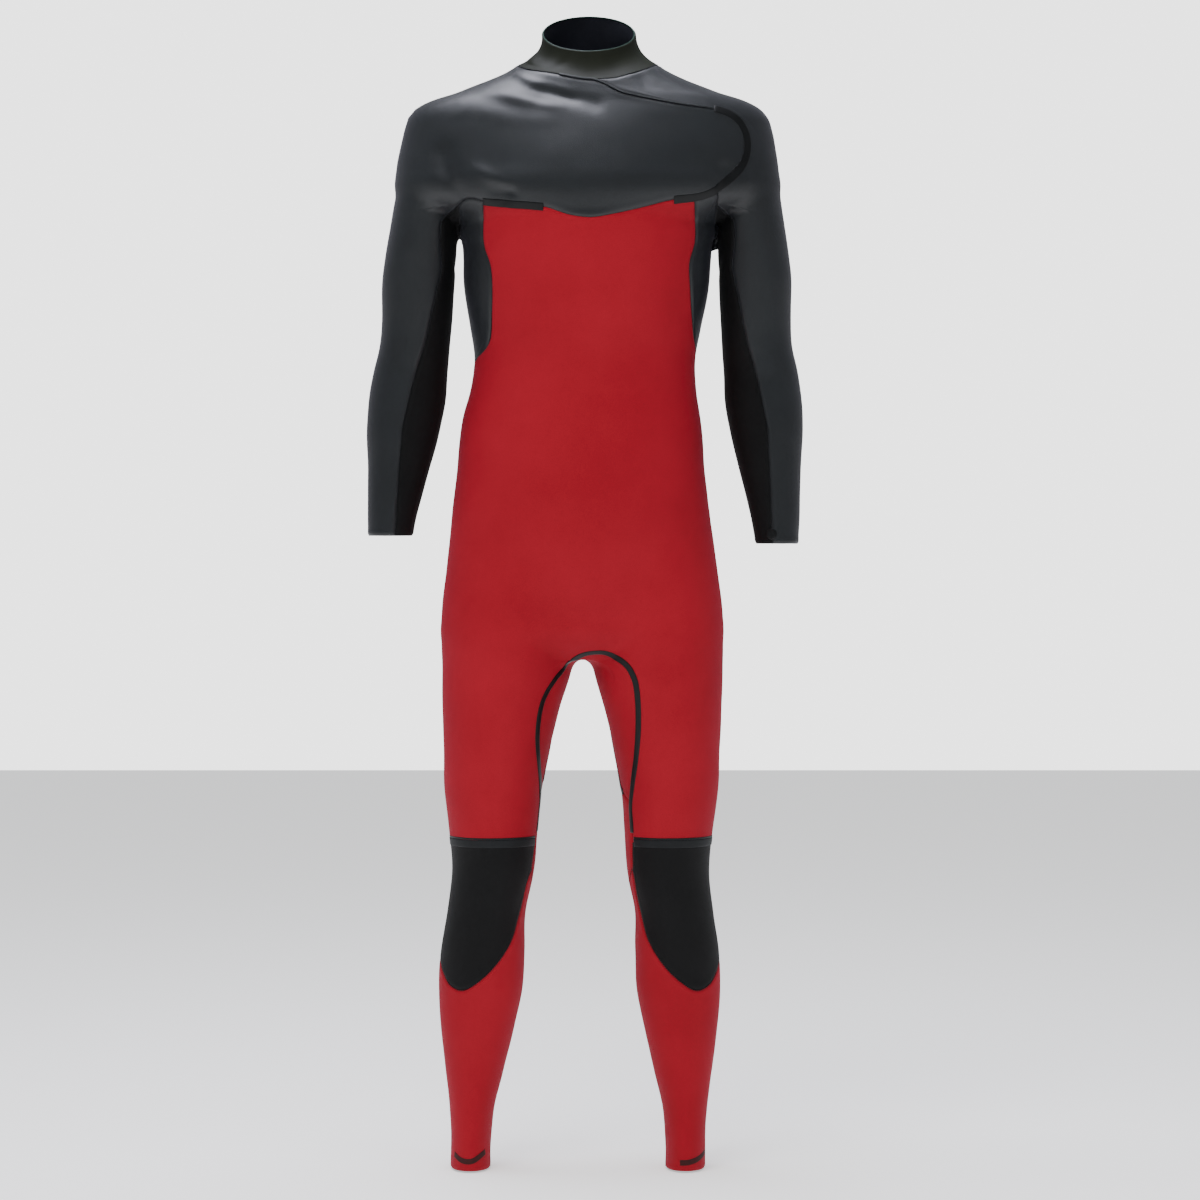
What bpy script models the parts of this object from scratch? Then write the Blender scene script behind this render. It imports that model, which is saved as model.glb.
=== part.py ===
"""Steamer wetsuit with a chest zip flap, as it stands on a general figure. Metres, +Z up, front to -Y.

The origin is where the figure holds it up, in the middle of the neck's foot. The wearer's left is +X.
The garment's form is a smooth union of sections. Seams are curves on that form, and each panel is the
wall between its seams, so that neighbours share their seams' points.
"""

import math

import bmesh
import bpy
import numpy as np
from mathutils import Vector
from mathutils.geometry import delaunay_2d_cdt

MM = 0.001
WALL = 3.0 * MM
COLLAR_WALL = 2.0 * MM
SEAM_HALF_GAP = 0.15 * MM
# In a sharp crease the gap is wider: how much more, how far in the bend is felt, and a full bend.
CREASE_HALF_GAP = 0.5 * MM
CREASE_REACH = 5 * MM
CREASE_BEND = 0.2
FACET_ALLOWANCE = 0.8 * MM
TAPE_LIFT = 0.3 * MM
TAPE_THICK = 0.9 * MM
SHOULDER_TAPE = 11.0 * MM
CHEST_TAPE = 10.0 * MM
GUSSET_TAPE = 8.0 * MM
KNEE_BAND = 10.0 * MM
PATCH_RADIUS = 7.0 * MM

CUFF_Z = {"L": -592 * MM, "R": -582 * MM}
ANKLE_Z = -1384 * MM
PAD_TOP_Z = -968 * MM
SLEEVE_SEAM_TOP_Z = -205 * MM
ANKLE_RIBS_TOP_Z = -1180 * MM
FORK_Z = -916 * MM
TAPE_FOOT_Z = -960 * MM

# The limbs' middle line leans: its x in mm at a height, high and low.
ARM_MIDDLE = ((-600, -6), (-150, 0))
LEG_MIDDLE = ((-1400, -13), (-750, -7))
NECK_AXIS = (2 * MM, 6 * MM)

ARM_BLEND = 8 * MM
LEG_BLEND = 16 * MM
YOKE_BLEND = 30 * MM

CHEST_STEP = 30 * MM
BODY_STEP = 32 * MM
LEG_STEP = 22 * MM
SLEEVE_STEP = 25 * MM
RELAX_ROUNDS = 14

# Sections are in mm: height, centre x, half width, centre y, then depth to the front and to the back.
SECTION_COLUMNS = ("z", "x", "wide", "y", "front", "back")
YOKE_ROWS = [
    (60, 2, 55, 8, 50, 56),
    (40, 2, 62, 8, 54, 60),
    (28, 2, 72, 8, 58, 64),
    (20, 1, 82, 8, 62, 68),
    (12, 0, 96, 8, 65, 72),
    (4, 0, 111, 8, 68, 76),
    (-4, 0, 129, 8, 72, 80),
    (-12, 0, 150, 8, 76, 84),
    (-20, 0, 171, 8, 80, 88),
    (-28, 0, 197, 8, 84, 92),
    (-37, 0, 216, 8, 88, 95),
    (-49, 0, 228, 8, 94, 99),
    (-66, 0, 234, 8, 101, 104),
    (-92, 0, 239, 6, 108, 108),
    (-118, -1, 242, 4, 113, 110),
    (-142, -1, 243, 2, 116, 110),
    (-158, -1, 232, 1, 112, 102),
    (-174, -1, 198, 0, 100, 88),
    (-188, -1, 150, 0, 80, 70),
]
TORSO_ROWS = [
    (-90, 0, 140, 2, 100, 96),
    (-142, -1, 162, 0, 116, 108),
    (-180, -1, 160, 0, 119, 107),
    (-218, -1, 158, 0, 118, 104),
    (-270, -2, 155, 0, 113, 98),
    (-320, -3, 146, 0, 106, 92),
    (-360, -4, 140, 0, 101, 89),
    (-396, -6, 143, 0, 100, 90),
    (-434, -8, 151, 0, 102, 95),
    (-498, -9, 157, 0, 105, 104),
    (-560, -9, 164, 0, 105, 114),
    (-625, -8, 170, 2, 101, 120),
    (-680, -8, 173, 4, 93, 114),
    (-715, -8, 166, 4, 80, 96),
    (-738, -8, 140, 4, 52, 62),
]
ARM_ROWS = [
    (-58, 194, 18, 6, 20, 20),
    (-90, 199, 34, 6, 40, 40),
    (-142, 203, 40, 5, 50, 50),
    (-190, 208, 43, 5, 53, 53),
    (-244, 213, 46, 4, 52, 52),
    (-345, 218, 45, 3, 47, 47),
    (-371, 222, 47, 2, 46, 47),
    (-409, 226, 49, -1, 47, 47),
    (-447, 230, 46.5, -7, 45, 45),
    (-498, 235, 39, -16, 39, 39),
    (-549, 241, 32, -25, 34, 34),
    (-600, 245, 26, -33, 30, 30),
]
LEG_ROWS = [
    (-640, 84, 84, 3, 84, 96),
    (-700, 91, 87, 3, 88, 100),
    (-752, 96, 82, 3, 86, 96),
    (-803, 103, 74, 2, 82, 88),
    (-853, 108, 67, 1, 77, 80),
    (-904, 112, 61.5, 0, 71, 72),
    (-955, 111, 56, -1, 65, 64),
    (-1006, 111, 52, -1, 60, 60),
    (-1057, 119, 49.5, 2, 56, 60),
    (-1107, 123.5, 53, 8, 55, 64),
    (-1158, 126, 53, 12, 53, 65),
    (-1209, 129.5, 46, 14, 50, 58),
    (-1260, 132.5, 37, 15, 46, 50),
    (-1311, 135.5, 28, 14, 43, 45),
    (-1361, 136.5, 25, 12, 43, 43),
    (-1400, 136.5, 26, 12, 43, 44),
]

# The largest folds in mm: both ends in front or back view, how deep the trough is, its half width.
FOLD_COLUMNS = ("x1", "z1", "x2", "z2", "deep", "wide", "side")
FOLDS = [
    (-52, -24, 8, -44, 3.2, 11, "front"),
    (-96, -2, -60, -34, 2.2, 13, "front"),
    (-180, -104, -163, -166, 5.0, 14, "front"),
    (172, -128, 164, -172, 5.0, 14, "front"),
    (-176, -110, -162, -168, 4.0, 14, "back"),
    (176, -110, 162, -168, 4.0, 14, "back"),
    (-118, -152, -104, -165, 2.6, 9, "front"),
]

# Seams in mm, in front or back view.
FLAP_EDGE = [(6, -11), (20, -15), (34, -24), (69, -33), (121, -42), (158, -46), (183, -55),
             (197, -72), (200, -94), (194, -116), (180, -133), (161, -149)]
CHEST_RIGHT = [(-131, -166), (-80, -172), (-54, -175), (-22, -185), (4, -188), (34, -183), (69, -175),
               (102, -166), (133, -161)]
CHEST_LEFT = [(133, -161), (148, -157), (161, -149)]
PIT_REACH_LEFT = [(161, -149), (163, -158), (162, -168)]
PIT_REACH_RIGHT = [(-131, -166), (-145, -162), (-155, -163), (-162, -168)]
CREASE_RIGHT = [(-72, 12), (-128, -26), (-170, -66), (-180, -112), (-174, -146), (-162, -168)]
CREASE_LEFT = [(72, 8), (130, -22), (190, -50), (216, -84), (212, -122), (188, -152), (162, -168)]
BACK_RAGLAN = [(44, 30), (92, -40), (128, -100), (150, -146), (162, -172)]
YOKE_FOOT = [(-131, -188), (-70, -196), (0, -200), (70, -196), (131, -188)]
YOKE_CORNER = [(131, -188), (148, -174), (162, -172)]
SIDE_FRONT_RIGHT = [(-131, -166), (-131, -217), (-122, -248), (-121, -300), (-124, -340), (-137, -362)]
SIDE_FRONT_LEFT = [(133, -161), (135, -213), (128, -240), (129, -276), (132, -318), (131, -352)]
SIDE_BACK = [(131, -188), (127, -230), (121, -280), (122, -325), (134, -362)]
GUSSET_FRONT = [(-64, -872), (-65, -834), (-60, -800), (-53, -782), (-42, -763), (-24, -742), (-4, -730),
                (17, -728), (40, -737), (54, -751), (60, -770), (63, -800), (62, -848), (58, -890)]
GUSSET_BACK_TOP = [(-66, -770), (-40, -736), (-9, -720), (22, -736), (48, -770)]
PAD_FOOT = [(-1003, 67), (-1036, 71), (-1067, 78), (-1093, 86), (-1121, 104), (-1144, 128), (-1155, 149),
            (-1148, 165), (-1134, 173), (-1118, 177)]

# Seams round a limb: height in mm, degrees from its outer side (0) by the front (90) to the inner (180).
SLEEVE_FRONT = [(-205, 118), (-244, 129), (-295, 117), (-345, 107), (-396, 97), (-447, 90), (-498, 93),
                (-549, 100), (-600, 107)]
SLEEVE_BACK = [(-205, 242), (-244, 230), (-295, 238), (-345, 246), (-447, 254), (-549, 252), (-600, 250)]
INNER_LEG = {
    "L": [(-916, 143), (-955, 142), (-1000, 146), (-1022, 172), (-1060, 177), (-1400, 178)],
    "R": [(-916, 171), (-955, 168), (-980, 161), (-1000, 157), (-1022, 172), (-1060, 177), (-1400, 178)],
}
FORK_BACK = {
    "L": [(-916, 143), (-911, 158), (-900, 172), (-860, 184), (-820, 198), (-770, 222)],
    "R": [(-916, 171), (-890, 178), (-868, 183), (-830, 198), (-800, 210), (-770, 224)],
}
SIDE_LINE = [(-340, 0), (-1400, 0)]
SEAT_SEAM_Z = -770 * MM
SEAT_SEAM_ENDS = (360, 250)

# The neck seam: degrees round the neck from the left (0) by the back (90), and its height in mm.
NECK_SEAM = [(-180, 19), (-150, 6), (-130, 0), (-110, -6), (-90, -11), (-65, -8), (-40, 3), (-20, 13), (0, 18),
             (45, 28), (90, 34), (135, 29), (180, 19)]
NECK_FLAP_ANGLE = -86
NECK_CREASE_RIGHT_ANGLE = -165
NECK_CREASE_LEFT_ANGLE = -18
NECK_BACK_LEFT_ANGLE = 52
NECK_BACK_RIGHT_ANGLE = 128

# The collar's rim in mm: its middle, its half width and depth, and how much the back is above the middle.
COLLAR_RIM = {"x": 1, "y": 8, "z": 57, "wide": 60, "deep": 59, "rise": 30}
COLLAR_RINGS = 6
COLLAR_FLARE = 2.6
PATCH_Z = -580 * MM
PATCH_SIDES = 14


def tableCurves(table):
    """A section table's heights, values and slopes, lowest row first."""
    rows = np.array(sorted(table), dtype=float) * MM
    return rows[:, 0], rows[:, 1:], np.gradient(rows[:, 1:], rows[:, 0], axis=0)


def sectionAt(curves, z):
    """Every column of a section table at heights z, by a smooth curve through its rows."""
    knots, values, slopes = curves
    z = np.clip(z, knots[0], knots[-1])
    i = np.clip(np.searchsorted(knots, z) - 1, 0, len(knots) - 2)
    span = knots[i + 1] - knots[i]
    t = ((z - knots[i]) / span)[:, None]
    rise = span[:, None] * (slopes[i] * t * (1 - t) ** 2 - slopes[i + 1] * t**2 * (1 - t))
    values = values[i] * (1 + 2 * t) * (1 - t) ** 2 + values[i + 1] * t**2 * (3 - 2 * t) + rise
    return dict(zip(SECTION_COLUMNS[1:], values.T))


YOKE, TORSO, ARM, LEG = (tableCurves(table) for table in (YOKE_ROWS, TORSO_ROWS, ARM_ROWS, LEG_ROWS))


def middleAt(middle, z):
    """The x of a limb pair's middle line at heights z."""
    heights, xs = np.array(middle, dtype=float).T * MM
    return np.interp(z, heights, xs)


def sectionGap(curves, p, middle=None):
    """About how far points are outside a stack of oval sections, mirrored about a middle if given."""
    x, y, z = p.T
    if middle is not None:
        x = np.abs(x - middleAt(middle, z))
    at = sectionAt(curves, z)
    x, y = x - at["x"], y - at["y"]
    a, b = at["wide"], np.where(y < 0, at["front"], at["back"])
    whole = np.hypot(x / a, y / b)
    slope = np.hypot(x / a**2, y / b**2)
    gap = np.where(whole < 1e-4, -np.minimum(a, b), whole * (whole - 1) / np.maximum(slope, 1e-9))
    return np.maximum(gap, np.maximum(z - curves[0][-1], curves[0][0] - z))


def blend(a, b, k):
    """The union of two forms, rounded where they meet."""
    h = np.maximum(k - np.abs(a - b), 0) / k
    return np.minimum(a, b) - h * h * k / 4


def foldDepth(p):
    """How far the folds press the form in."""
    total = np.zeros(len(p))
    for fold in FOLDS:
        f = dict(zip(FOLD_COLUMNS, fold))
        a = np.array([f["x1"], f["z1"]]) * MM
        b = np.array([f["x2"], f["z2"]]) * MM
        q = p[:, [0, 2]]
        t = np.clip((q - a) @ (b - a) / ((b - a) @ (b - a)), 0, 1)
        far = np.linalg.norm(q - a - t[:, None] * (b - a), axis=1)
        side = -1 if f["side"] == "front" else 1
        facing = 0.5 + 0.5 * np.tanh(side * p[:, 1] / (12 * MM))
        total += f["deep"] * MM * np.exp(-((far / (f["wide"] * MM)) ** 2)) * facing
    return total


def form(p):
    """The garment's outer form: below 0 inside it, above 0 outside it."""
    body = blend(sectionGap(TORSO, p), sectionGap(YOKE, p), YOKE_BLEND)
    body = blend(body, sectionGap(ARM, p, ARM_MIDDLE), ARM_BLEND)
    body = blend(body, sectionGap(LEG, p, LEG_MIDDLE), LEG_BLEND)
    return body + foldDepth(p) - FACET_ALLOWANCE


def slopeOf(p):
    """The form's outward normals."""
    step = 0.5 * MM
    g = np.stack([form(p + step * axis) - form(p - step * axis) for axis in np.eye(3)], axis=1)
    return g / np.linalg.norm(g, axis=1)[:, None]


def settle(p, rounds=6):
    """Points moved onto the form along its slope."""
    step = 0.5 * MM
    for _ in range(rounds):
        g = np.stack([form(p + step * axis) - form(p - step * axis) for axis in np.eye(3)], axis=1) / (2 * step)
        size = np.maximum((g * g).sum(axis=1), 0.2)
        p = p - g * (np.clip(form(p), -20 * MM, 20 * MM) / size)[:, None]
    return p


def cast(start, way, reach=0.3):
    """Where rays that start inside the form first leave it."""
    stride = 6 * MM
    near, going = np.zeros(len(start)), np.ones(len(start), dtype=bool)
    for _ in range(int(reach / stride)):
        going &= form(start + way * (near + stride)[:, None]) < 0
        near = near + stride * going
    far = near + stride
    for _ in range(18):
        middle = (near + far) / 2
        inside = form(start + way * middle[:, None]) < 0
        near, far = np.where(inside, middle, near), np.where(inside, far, middle)
    return start + way * near[:, None]


def smoothThrough(points, count=160):
    """A smooth curve through points, by Catmull and Rom."""
    p = np.asarray(points, dtype=float)
    lengths = np.r_[0, np.cumsum(np.linalg.norm(np.diff(p, axis=0), axis=1) ** 0.5)]
    slopes = np.gradient(p, lengths, axis=0)
    s = np.linspace(0, lengths[-1], count)
    i = np.clip(np.searchsorted(lengths, s) - 1, 0, len(p) - 2)
    span = (lengths[i + 1] - lengths[i])[:, None]
    t = ((s - lengths[i])[:, None]) / span
    return (
        p[i] * (1 + 2 * t) * (1 - t) ** 2
        + p[i + 1] * t**2 * (3 - 2 * t)
        + span * (slopes[i] * t * (1 - t) ** 2 - slopes[i + 1] * t**2 * (1 - t))
    )


def spaced(line, step):
    """A line with its points an even step apart."""
    far = np.r_[0, np.cumsum(np.linalg.norm(np.diff(line, axis=0), axis=1))]
    at = np.linspace(0, far[-1], max(2, round(far[-1] / step)) + 1)
    return settle(np.stack([np.interp(at, far, line[:, k]) for k in range(3)], axis=1))


def seenSeam(points, step, side=-1):
    """A seam given in front view (side -1) or back view (side 1), laid on the form."""
    flat = smoothThrough(np.array(points) * MM)
    start = np.stack([flat[:, 0], np.zeros(len(flat)), flat[:, 1]], axis=1)
    return spaced(cast(start, np.tile([0.0, side, 0.0], (len(flat), 1))), step)


def limbRays(curves, middle, hand, z, degrees):
    """Rays from a limb's axis: hand is 1 for the wearer's left and -1 for the right."""
    at = sectionAt(curves, z)
    start = np.stack([middleAt(middle, z) + hand * at["x"], at["y"], z], axis=1)
    turn = np.radians(degrees)
    return start, np.stack([hand * np.cos(turn), -np.sin(turn), np.zeros(len(z))], axis=1)


def limbSeam(curves, middle, hand, rows, top, foot, step):
    """A seam that runs along a limb at an angle read from its rows."""
    rows = np.array(sorted(rows), dtype=float)
    z = np.linspace(top, foot, 240)
    degrees = np.interp(z, rows[:, 0] * MM, rows[:, 1])
    return spaced(cast(*limbRays(curves, middle, hand, z, degrees)), step)


def neckSeam(first, last, step):
    """The neck seam from one angle to another, the way round that the angles grow."""
    degrees = np.linspace(first, last, 90)
    rows = np.array(NECK_SEAM, dtype=float)
    z = np.interp((degrees + 180) % 360 - 180, rows[:, 0], rows[:, 1] * MM)
    start = np.stack([np.full(90, NECK_AXIS[0]), np.full(90, NECK_AXIS[1]), z], axis=1)
    turn = np.radians(degrees)
    way = np.stack([np.cos(turn), np.sin(turn), np.zeros(90)], axis=1)
    return spaced(cast(start, way), step)


def armpitSeam(front, back, step):
    """The seam under the arm, along the lowest line between the torso and the sleeve."""
    y = np.linspace(front[1], back[1], 60)
    x = np.linspace(front[0], back[0], 60)
    start = np.stack([x, y, np.full(60, -120 * MM)], axis=1)
    line = cast(start, np.tile([0.0, 0.0, -1.0], (60, 1)), 0.12)
    ends = np.minimum(np.linspace(0, 1, 60), np.linspace(1, 0, 60))[:, None]
    straight = front + (back - front) * np.linspace(0, 1, 60)[:, None]
    mix = np.clip(ends / 0.05, 0, 1)
    return spaced(settle(line * mix + straight * (1 - mix)), step)


def pinned(line, start=None, end=None):
    """A line with its ends put exactly on the corners that it joins."""
    line = line.copy()
    if start is not None:
        line[0] = start
    if end is not None:
        line[-1] = end
    return line


def strip(line, wide):
    """The points on either side of a seam, half a tape's width off, on the form."""
    along = np.gradient(line, axis=0)
    along /= np.linalg.norm(along, axis=1)[:, None]
    side = np.cross(slopeOf(line), along)
    side /= np.linalg.norm(side, axis=1)[:, None]
    return settle(line + side * wide / 2), settle(line - side * wide / 2)


class Panel:
    """One cut piece: blocks of surface that share points, given a wall."""

    def __init__(self):
        self.points = []
        self.index = {}
        self.triangles = []

    def number(self, p):
        key = tuple(np.round(p / (0.02 * MM)).astype(int))
        if key not in self.index:
            self.index[key] = len(self.points)
            self.points.append(np.array(p))
        return self.index[key]

    def block(self, seams, view, lift, steps, tapes=(), ribs=()):
        """Fills a closed run of seams. view flattens points, lift puts flat points back on the form.

        steps is one spacing for the points, or spacings with the flat heights that each is for.
        ribs are points on the form that a narrow limb needs to stay round.
        """
        rim = np.vstack([line[:-1] for line in seams])
        flat = view(rim)
        pins, links = [], []
        for middle, margin in tapes:
            first = len(rim) + len(pins)
            ids = [int(np.argmin(np.linalg.norm(rim - p, axis=1))) for p in middle]
            pins.extend(margin)
            for i in range(len(margin)):
                links.append((ids[i], first + i))
                if i:
                    links += [(first + i - 1, first + i), (ids[i - 1], first + i)]
        pins.extend(ribs)
        fixed = np.vstack([rim, pins]) if pins else rim
        flatFixed = view(fixed)
        bands = steps if isinstance(steps, tuple) else ((steps, -math.inf, math.inf),)
        inside = np.vstack([latticeIn(flat, flatFixed, *band) for band in bands])
        coords = np.vstack([flatFixed, inside]) if len(inside) else flatFixed
        loop = list(range(len(rim)))
        edges = links + [(i, (i + 1) % len(rim)) for i in loop]
        made = delaunay_2d_cdt([Vector(c) for c in coords], edges, [], 0, 1e-7)
        source = [ids[0] if ids else -1 for ids in made[3]]
        if -1 in source:
            raise ValueError("seams cross in the flat view")
        triangles = np.array([[source[i] for i in face] for face in made[2]])
        centres = np.array([coords[t].mean(axis=0) for t in triangles])
        triangles = triangles[insidePolygon(centres, flat)]
        points = np.vstack([fixed, lift(inside)]) if len(inside) else fixed
        points = relax(points, triangles, len(fixed))
        facing = np.cross(points[triangles[:, 1]] - points[triangles[:, 0]],
                          points[triangles[:, 2]] - points[triangles[:, 0]])
        if (facing * slopeOf(points[triangles].mean(axis=1))).sum() < 0:
            triangles = triangles[:, ::-1]
        numbers = [self.number(p) for p in points]
        self.triangles += [[numbers[i] for i in t] for t in triangles]


def insidePolygon(q, polygon):
    """Which flat points are inside a closed outline."""
    inside = np.zeros(len(q), dtype=bool)
    for a, b in zip(polygon, np.roll(polygon, -1, axis=0)):
        crosses = (a[1] > q[:, 1]) != (b[1] > q[:, 1])
        at = a[0] + (q[:, 1] - a[1]) * (b[0] - a[0]) / np.where(crosses, b[1] - a[1], 1)
        inside ^= crosses & (q[:, 0] < at)
    return inside


def latticeIn(outline, fixed, step, foot, top):
    """A lattice of triangles' corners inside an outline, clear of its edges and of fixed points.

    It fills the outline from the flat height foot up to top.
    """
    low, high = outline.min(axis=0), outline.max(axis=0)
    rise = step * math.sqrt(3) / 2
    rows = np.arange(low[1], high[1], rise)
    q = np.array([(x + (k % 2) * step / 2, y) for k, y in enumerate(rows)
                  for x in np.arange(low[0], high[0] + step, step)])
    q = q[insidePolygon(q, outline) & (q[:, 1] > foot) & (q[:, 1] < top)]
    for a, b in zip(outline, np.roll(outline, -1, axis=0)):
        t = np.clip((q - a) @ (b - a) / max((b - a) @ (b - a), 1e-12), 0, 1)
        q = q[np.linalg.norm(q - a - t[:, None] * (b - a), axis=1) > 0.5 * step]
    for p in fixed:
        q = q[np.linalg.norm(q - p, axis=1) > 0.5 * step]
    return q


def relax(points, triangles, fixedCount):
    """Evens out the free points, keeping them on the form."""
    pairs = np.vstack([triangles[:, [0, 1]], triangles[:, [1, 2]], triangles[:, [2, 0]]])
    pairs = np.unique(np.vstack([pairs, pairs[:, ::-1]]), axis=0)
    if fixedCount == len(points):
        return points
    count = np.bincount(pairs[:, 0], minlength=len(points))[:, None]
    for _ in range(RELAX_ROUNDS):
        total = np.zeros_like(points)
        np.add.at(total, pairs[:, 0], points[pairs[:, 1]])
        moved = points + 0.6 * (total / np.maximum(count, 1) - points)
        points = np.vstack([points[:fixedCount], settle(moved[fixedCount:], 3)])
    return points


def wallSolid(panel, thick=WALL):
    """Gives a panel its wall: the outer skin, the inner skin and the cut edges."""
    seamed = np.array(panel.points)
    triangles = np.array(panel.triangles)
    rims = rimEdges(triangles)
    outer = seamed + rimShrink(seamed, rims)
    inner = outer - slopeOf(outer) * thick
    n = len(outer)
    faces = triangles.tolist() + (triangles[:, ::-1] + n).tolist()
    for a, b in rims:
        # Neighbours cut a twisted edge along the same diagonal, so that their walls don't touch.
        if seamed[a].tolist() > seamed[b].tolist():
            faces += [[b, a, a + n], [b, a + n, b + n]]
        else:
            faces += [[b, a, b + n], [a, a + n, b + n]]
    return np.vstack([outer, inner]), faces


def rimEdges(triangles):
    """The edges that only one triangle has, in that triangle's order."""
    edges = np.vstack([triangles[:, [0, 1]], triangles[:, [1, 2]], triangles[:, [2, 0]]])
    held = {tuple(e) for e in edges.tolist()}
    return [(a, b) for a, b in held if (b, a) not in held]


def rimShrink(points, rims):
    """Moves for the rim's points, half a seam's gap into the panel."""
    move = np.zeros_like(points)
    inward = {}
    for a, b in rims:
        middle = (points[a] + points[b]) / 2
        along = (points[b] - points[a]) / np.linalg.norm(points[b] - points[a])
        into = np.cross(slopeOf(middle[None])[0], along)
        into /= np.linalg.norm(into)
        for k in (a, b):
            inward.setdefault(k, []).append(into)
    corners = [k for k, sides in inward.items() if len(sides) == 2]
    both = np.array([inward[k][0] + inward[k][1] for k in corners])
    at = points[corners]
    ahead = at + both * CREASE_REACH / np.maximum(np.linalg.norm(both, axis=1), 0.1)[:, None]
    bend = 1 - (slopeOf(at) * slopeOf(ahead)).sum(axis=1)
    gap = SEAM_HALF_GAP + CREASE_HALF_GAP * np.clip(bend / CREASE_BEND, 0, 1)
    move[corners] = both * (gap * 2 / np.maximum((both * both).sum(axis=1), 0.6))[:, None]
    return move


def tapeSolid(runs):
    """A tape on seams: its points are the panels' own, moved out. Each run is left, middle and right."""
    left, middle, right = (np.vstack([run[k] for run in runs]) for k in range(3))
    skin = np.stack([left, middle, right], axis=1).reshape(-1, 3)
    out = slopeOf(skin)
    n = len(skin)
    low, high = skin + out * TAPE_LIFT, skin + out * (TAPE_LIFT + TAPE_THICK)
    top = []
    for i in range(len(middle) - 1):
        a, b = 3 * i, 3 * i + 3
        top += [[a, a + 1, b], [a + 1, b + 1, b], [a + 1, a + 2, b + 2], [a + 1, b + 2, b + 1]]
    facing = np.cross(skin[top[0][1]] - skin[top[0][0]], skin[top[0][2]] - skin[top[0][0]])
    if facing @ out[0] < 0:
        top = [t[::-1] for t in top]
    faces = top + [[c + n, b + n, a + n] for a, b, c in top]
    for a, b in rimEdges(np.array(top)):
        faces += [[b, a, a + n], [b, a + n, b + n]]
    return np.vstack([high, low]), faces


def addObject(name, solid, material):
    """Makes the named object from points and faces."""
    points, faces = solid
    mesh = bpy.data.meshes.new(name)
    mesh.from_pydata([tuple(p) for p in points], [], faces)
    mesh.materials.append(material)
    thing = bpy.data.objects.new(name, mesh)
    bpy.context.scene.collection.objects.link(thing)
    tidy = bmesh.new()
    tidy.from_mesh(mesh)
    bmesh.ops.recalc_face_normals(tidy, faces=tidy.faces)
    tidy.to_mesh(mesh)
    tidy.free()
    mesh.shade_smooth()
    mesh.set_sharp_from_angle(angle=math.radians(40))
    return thing


def rubber(name, colour, roughness):
    """A Principled material."""
    material = bpy.data.materials.new(name)
    material.use_nodes = True
    bsdf = material.node_tree.nodes["Principled BSDF"]
    bsdf.inputs["Base Color"].default_value = (*colour, 1)
    bsdf.inputs["Roughness"].default_value = roughness
    return material


def frontView(p):
    return p[:, [0, 2]]


def frontLift(q):
    start = np.stack([q[:, 0], np.zeros(len(q)), q[:, 1]], axis=1)
    return cast(start, np.tile([0.0, -1.0, 0.0], (len(q), 1)))


def backLift(q):
    start = np.stack([q[:, 0], np.zeros(len(q)), q[:, 1]], axis=1)
    return cast(start, np.tile([0.0, 1.0, 0.0], (len(q), 1)))


def sideView(p):
    return p[:, [1, 2]]


def sideLift(hand):
    def lift(q):
        start = np.stack([np.zeros(len(q)), q[:, 0], q[:, 1]], axis=1)
        return cast(start, np.tile([float(hand), 0.0, 0.0], (len(q), 1)))

    return lift


# The line that runs from the neck over the shoulder and down the middle of the left sleeve, in mm.
SLEEVE_PATH = [(10, 8, -50), (110, 8, -54), (170, 7, -70), (200, 6, -112), (209, 5, -190), (218, 3, -345),
               (226, -1, -409), (235, -16, -498), (246, -35, -620)]
SLEEVE_ROUND = 45 * MM


def sleevePath(hand):
    """The sleeve's middle line with its directions along, outward and to the front."""
    line = smoothThrough(np.array(SLEEVE_PATH) * MM, 120)
    along = np.gradient(line, axis=0)
    along /= np.linalg.norm(along, axis=1)[:, None]
    outward = np.stack([-along[:, 2], np.zeros(len(line)), along[:, 0]], axis=1)
    outward /= np.linalg.norm(outward, axis=1)[:, None]
    front = np.cross(along, outward)
    mirror = np.array([hand, 1.0, 1.0])
    line = line * mirror
    line[:, 0] += middleAt(ARM_MIDDLE, line[:, 2])
    return line, along * mirror, outward * mirror, front * mirror


def sleeveView(hand, turned):
    """Flattens points round the sleeve: across it from its outer side, or its inner one if turned."""
    line, along, outward, front = sleevePath(hand)
    far = np.r_[0, np.cumsum(np.linalg.norm(np.diff(line, axis=0), axis=1))]
    turn = math.pi if turned else 0

    def view(p):
        i = np.argmin(np.linalg.norm(p[:, None] - line[None], axis=2), axis=1)
        off = p - line[i]
        angle = np.arctan2((off * front[i]).sum(axis=1), (off * outward[i]).sum(axis=1))
        angle = (angle - turn + math.pi) % (2 * math.pi) - math.pi
        return np.stack([angle * SLEEVE_ROUND, -(far[i] + (off * along[i]).sum(axis=1))], axis=1)

    def lift(q):
        at = -q[:, 1]
        angle = (q[:, 0] / SLEEVE_ROUND + turn)[:, None]
        mix = [np.stack([np.interp(at, far, v[:, k]) for k in range(3)], axis=1) for v in
               (line, outward, front)]
        way = mix[1] * np.cos(angle) + mix[2] * np.sin(angle)
        return cast(mix[0], way / np.linalg.norm(way, axis=1)[:, None])

    return view, lift


def gussetView(p):
    x = p[:, 0] - middleAt(LEG_MIDDLE, p[:, 2])
    return np.stack([p[:, 1], x + np.sign(x) * np.maximum(0, -728 * MM - p[:, 2])], axis=1)


def limbRing(curves, middle, hand, z, first, last, step):
    """An open edge round a limb at one height, from one angle to another."""
    degrees = np.linspace(first, last, 90)
    return spaced(cast(*limbRays(curves, middle, hand, np.full(90, z), degrees)), step)


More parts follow.
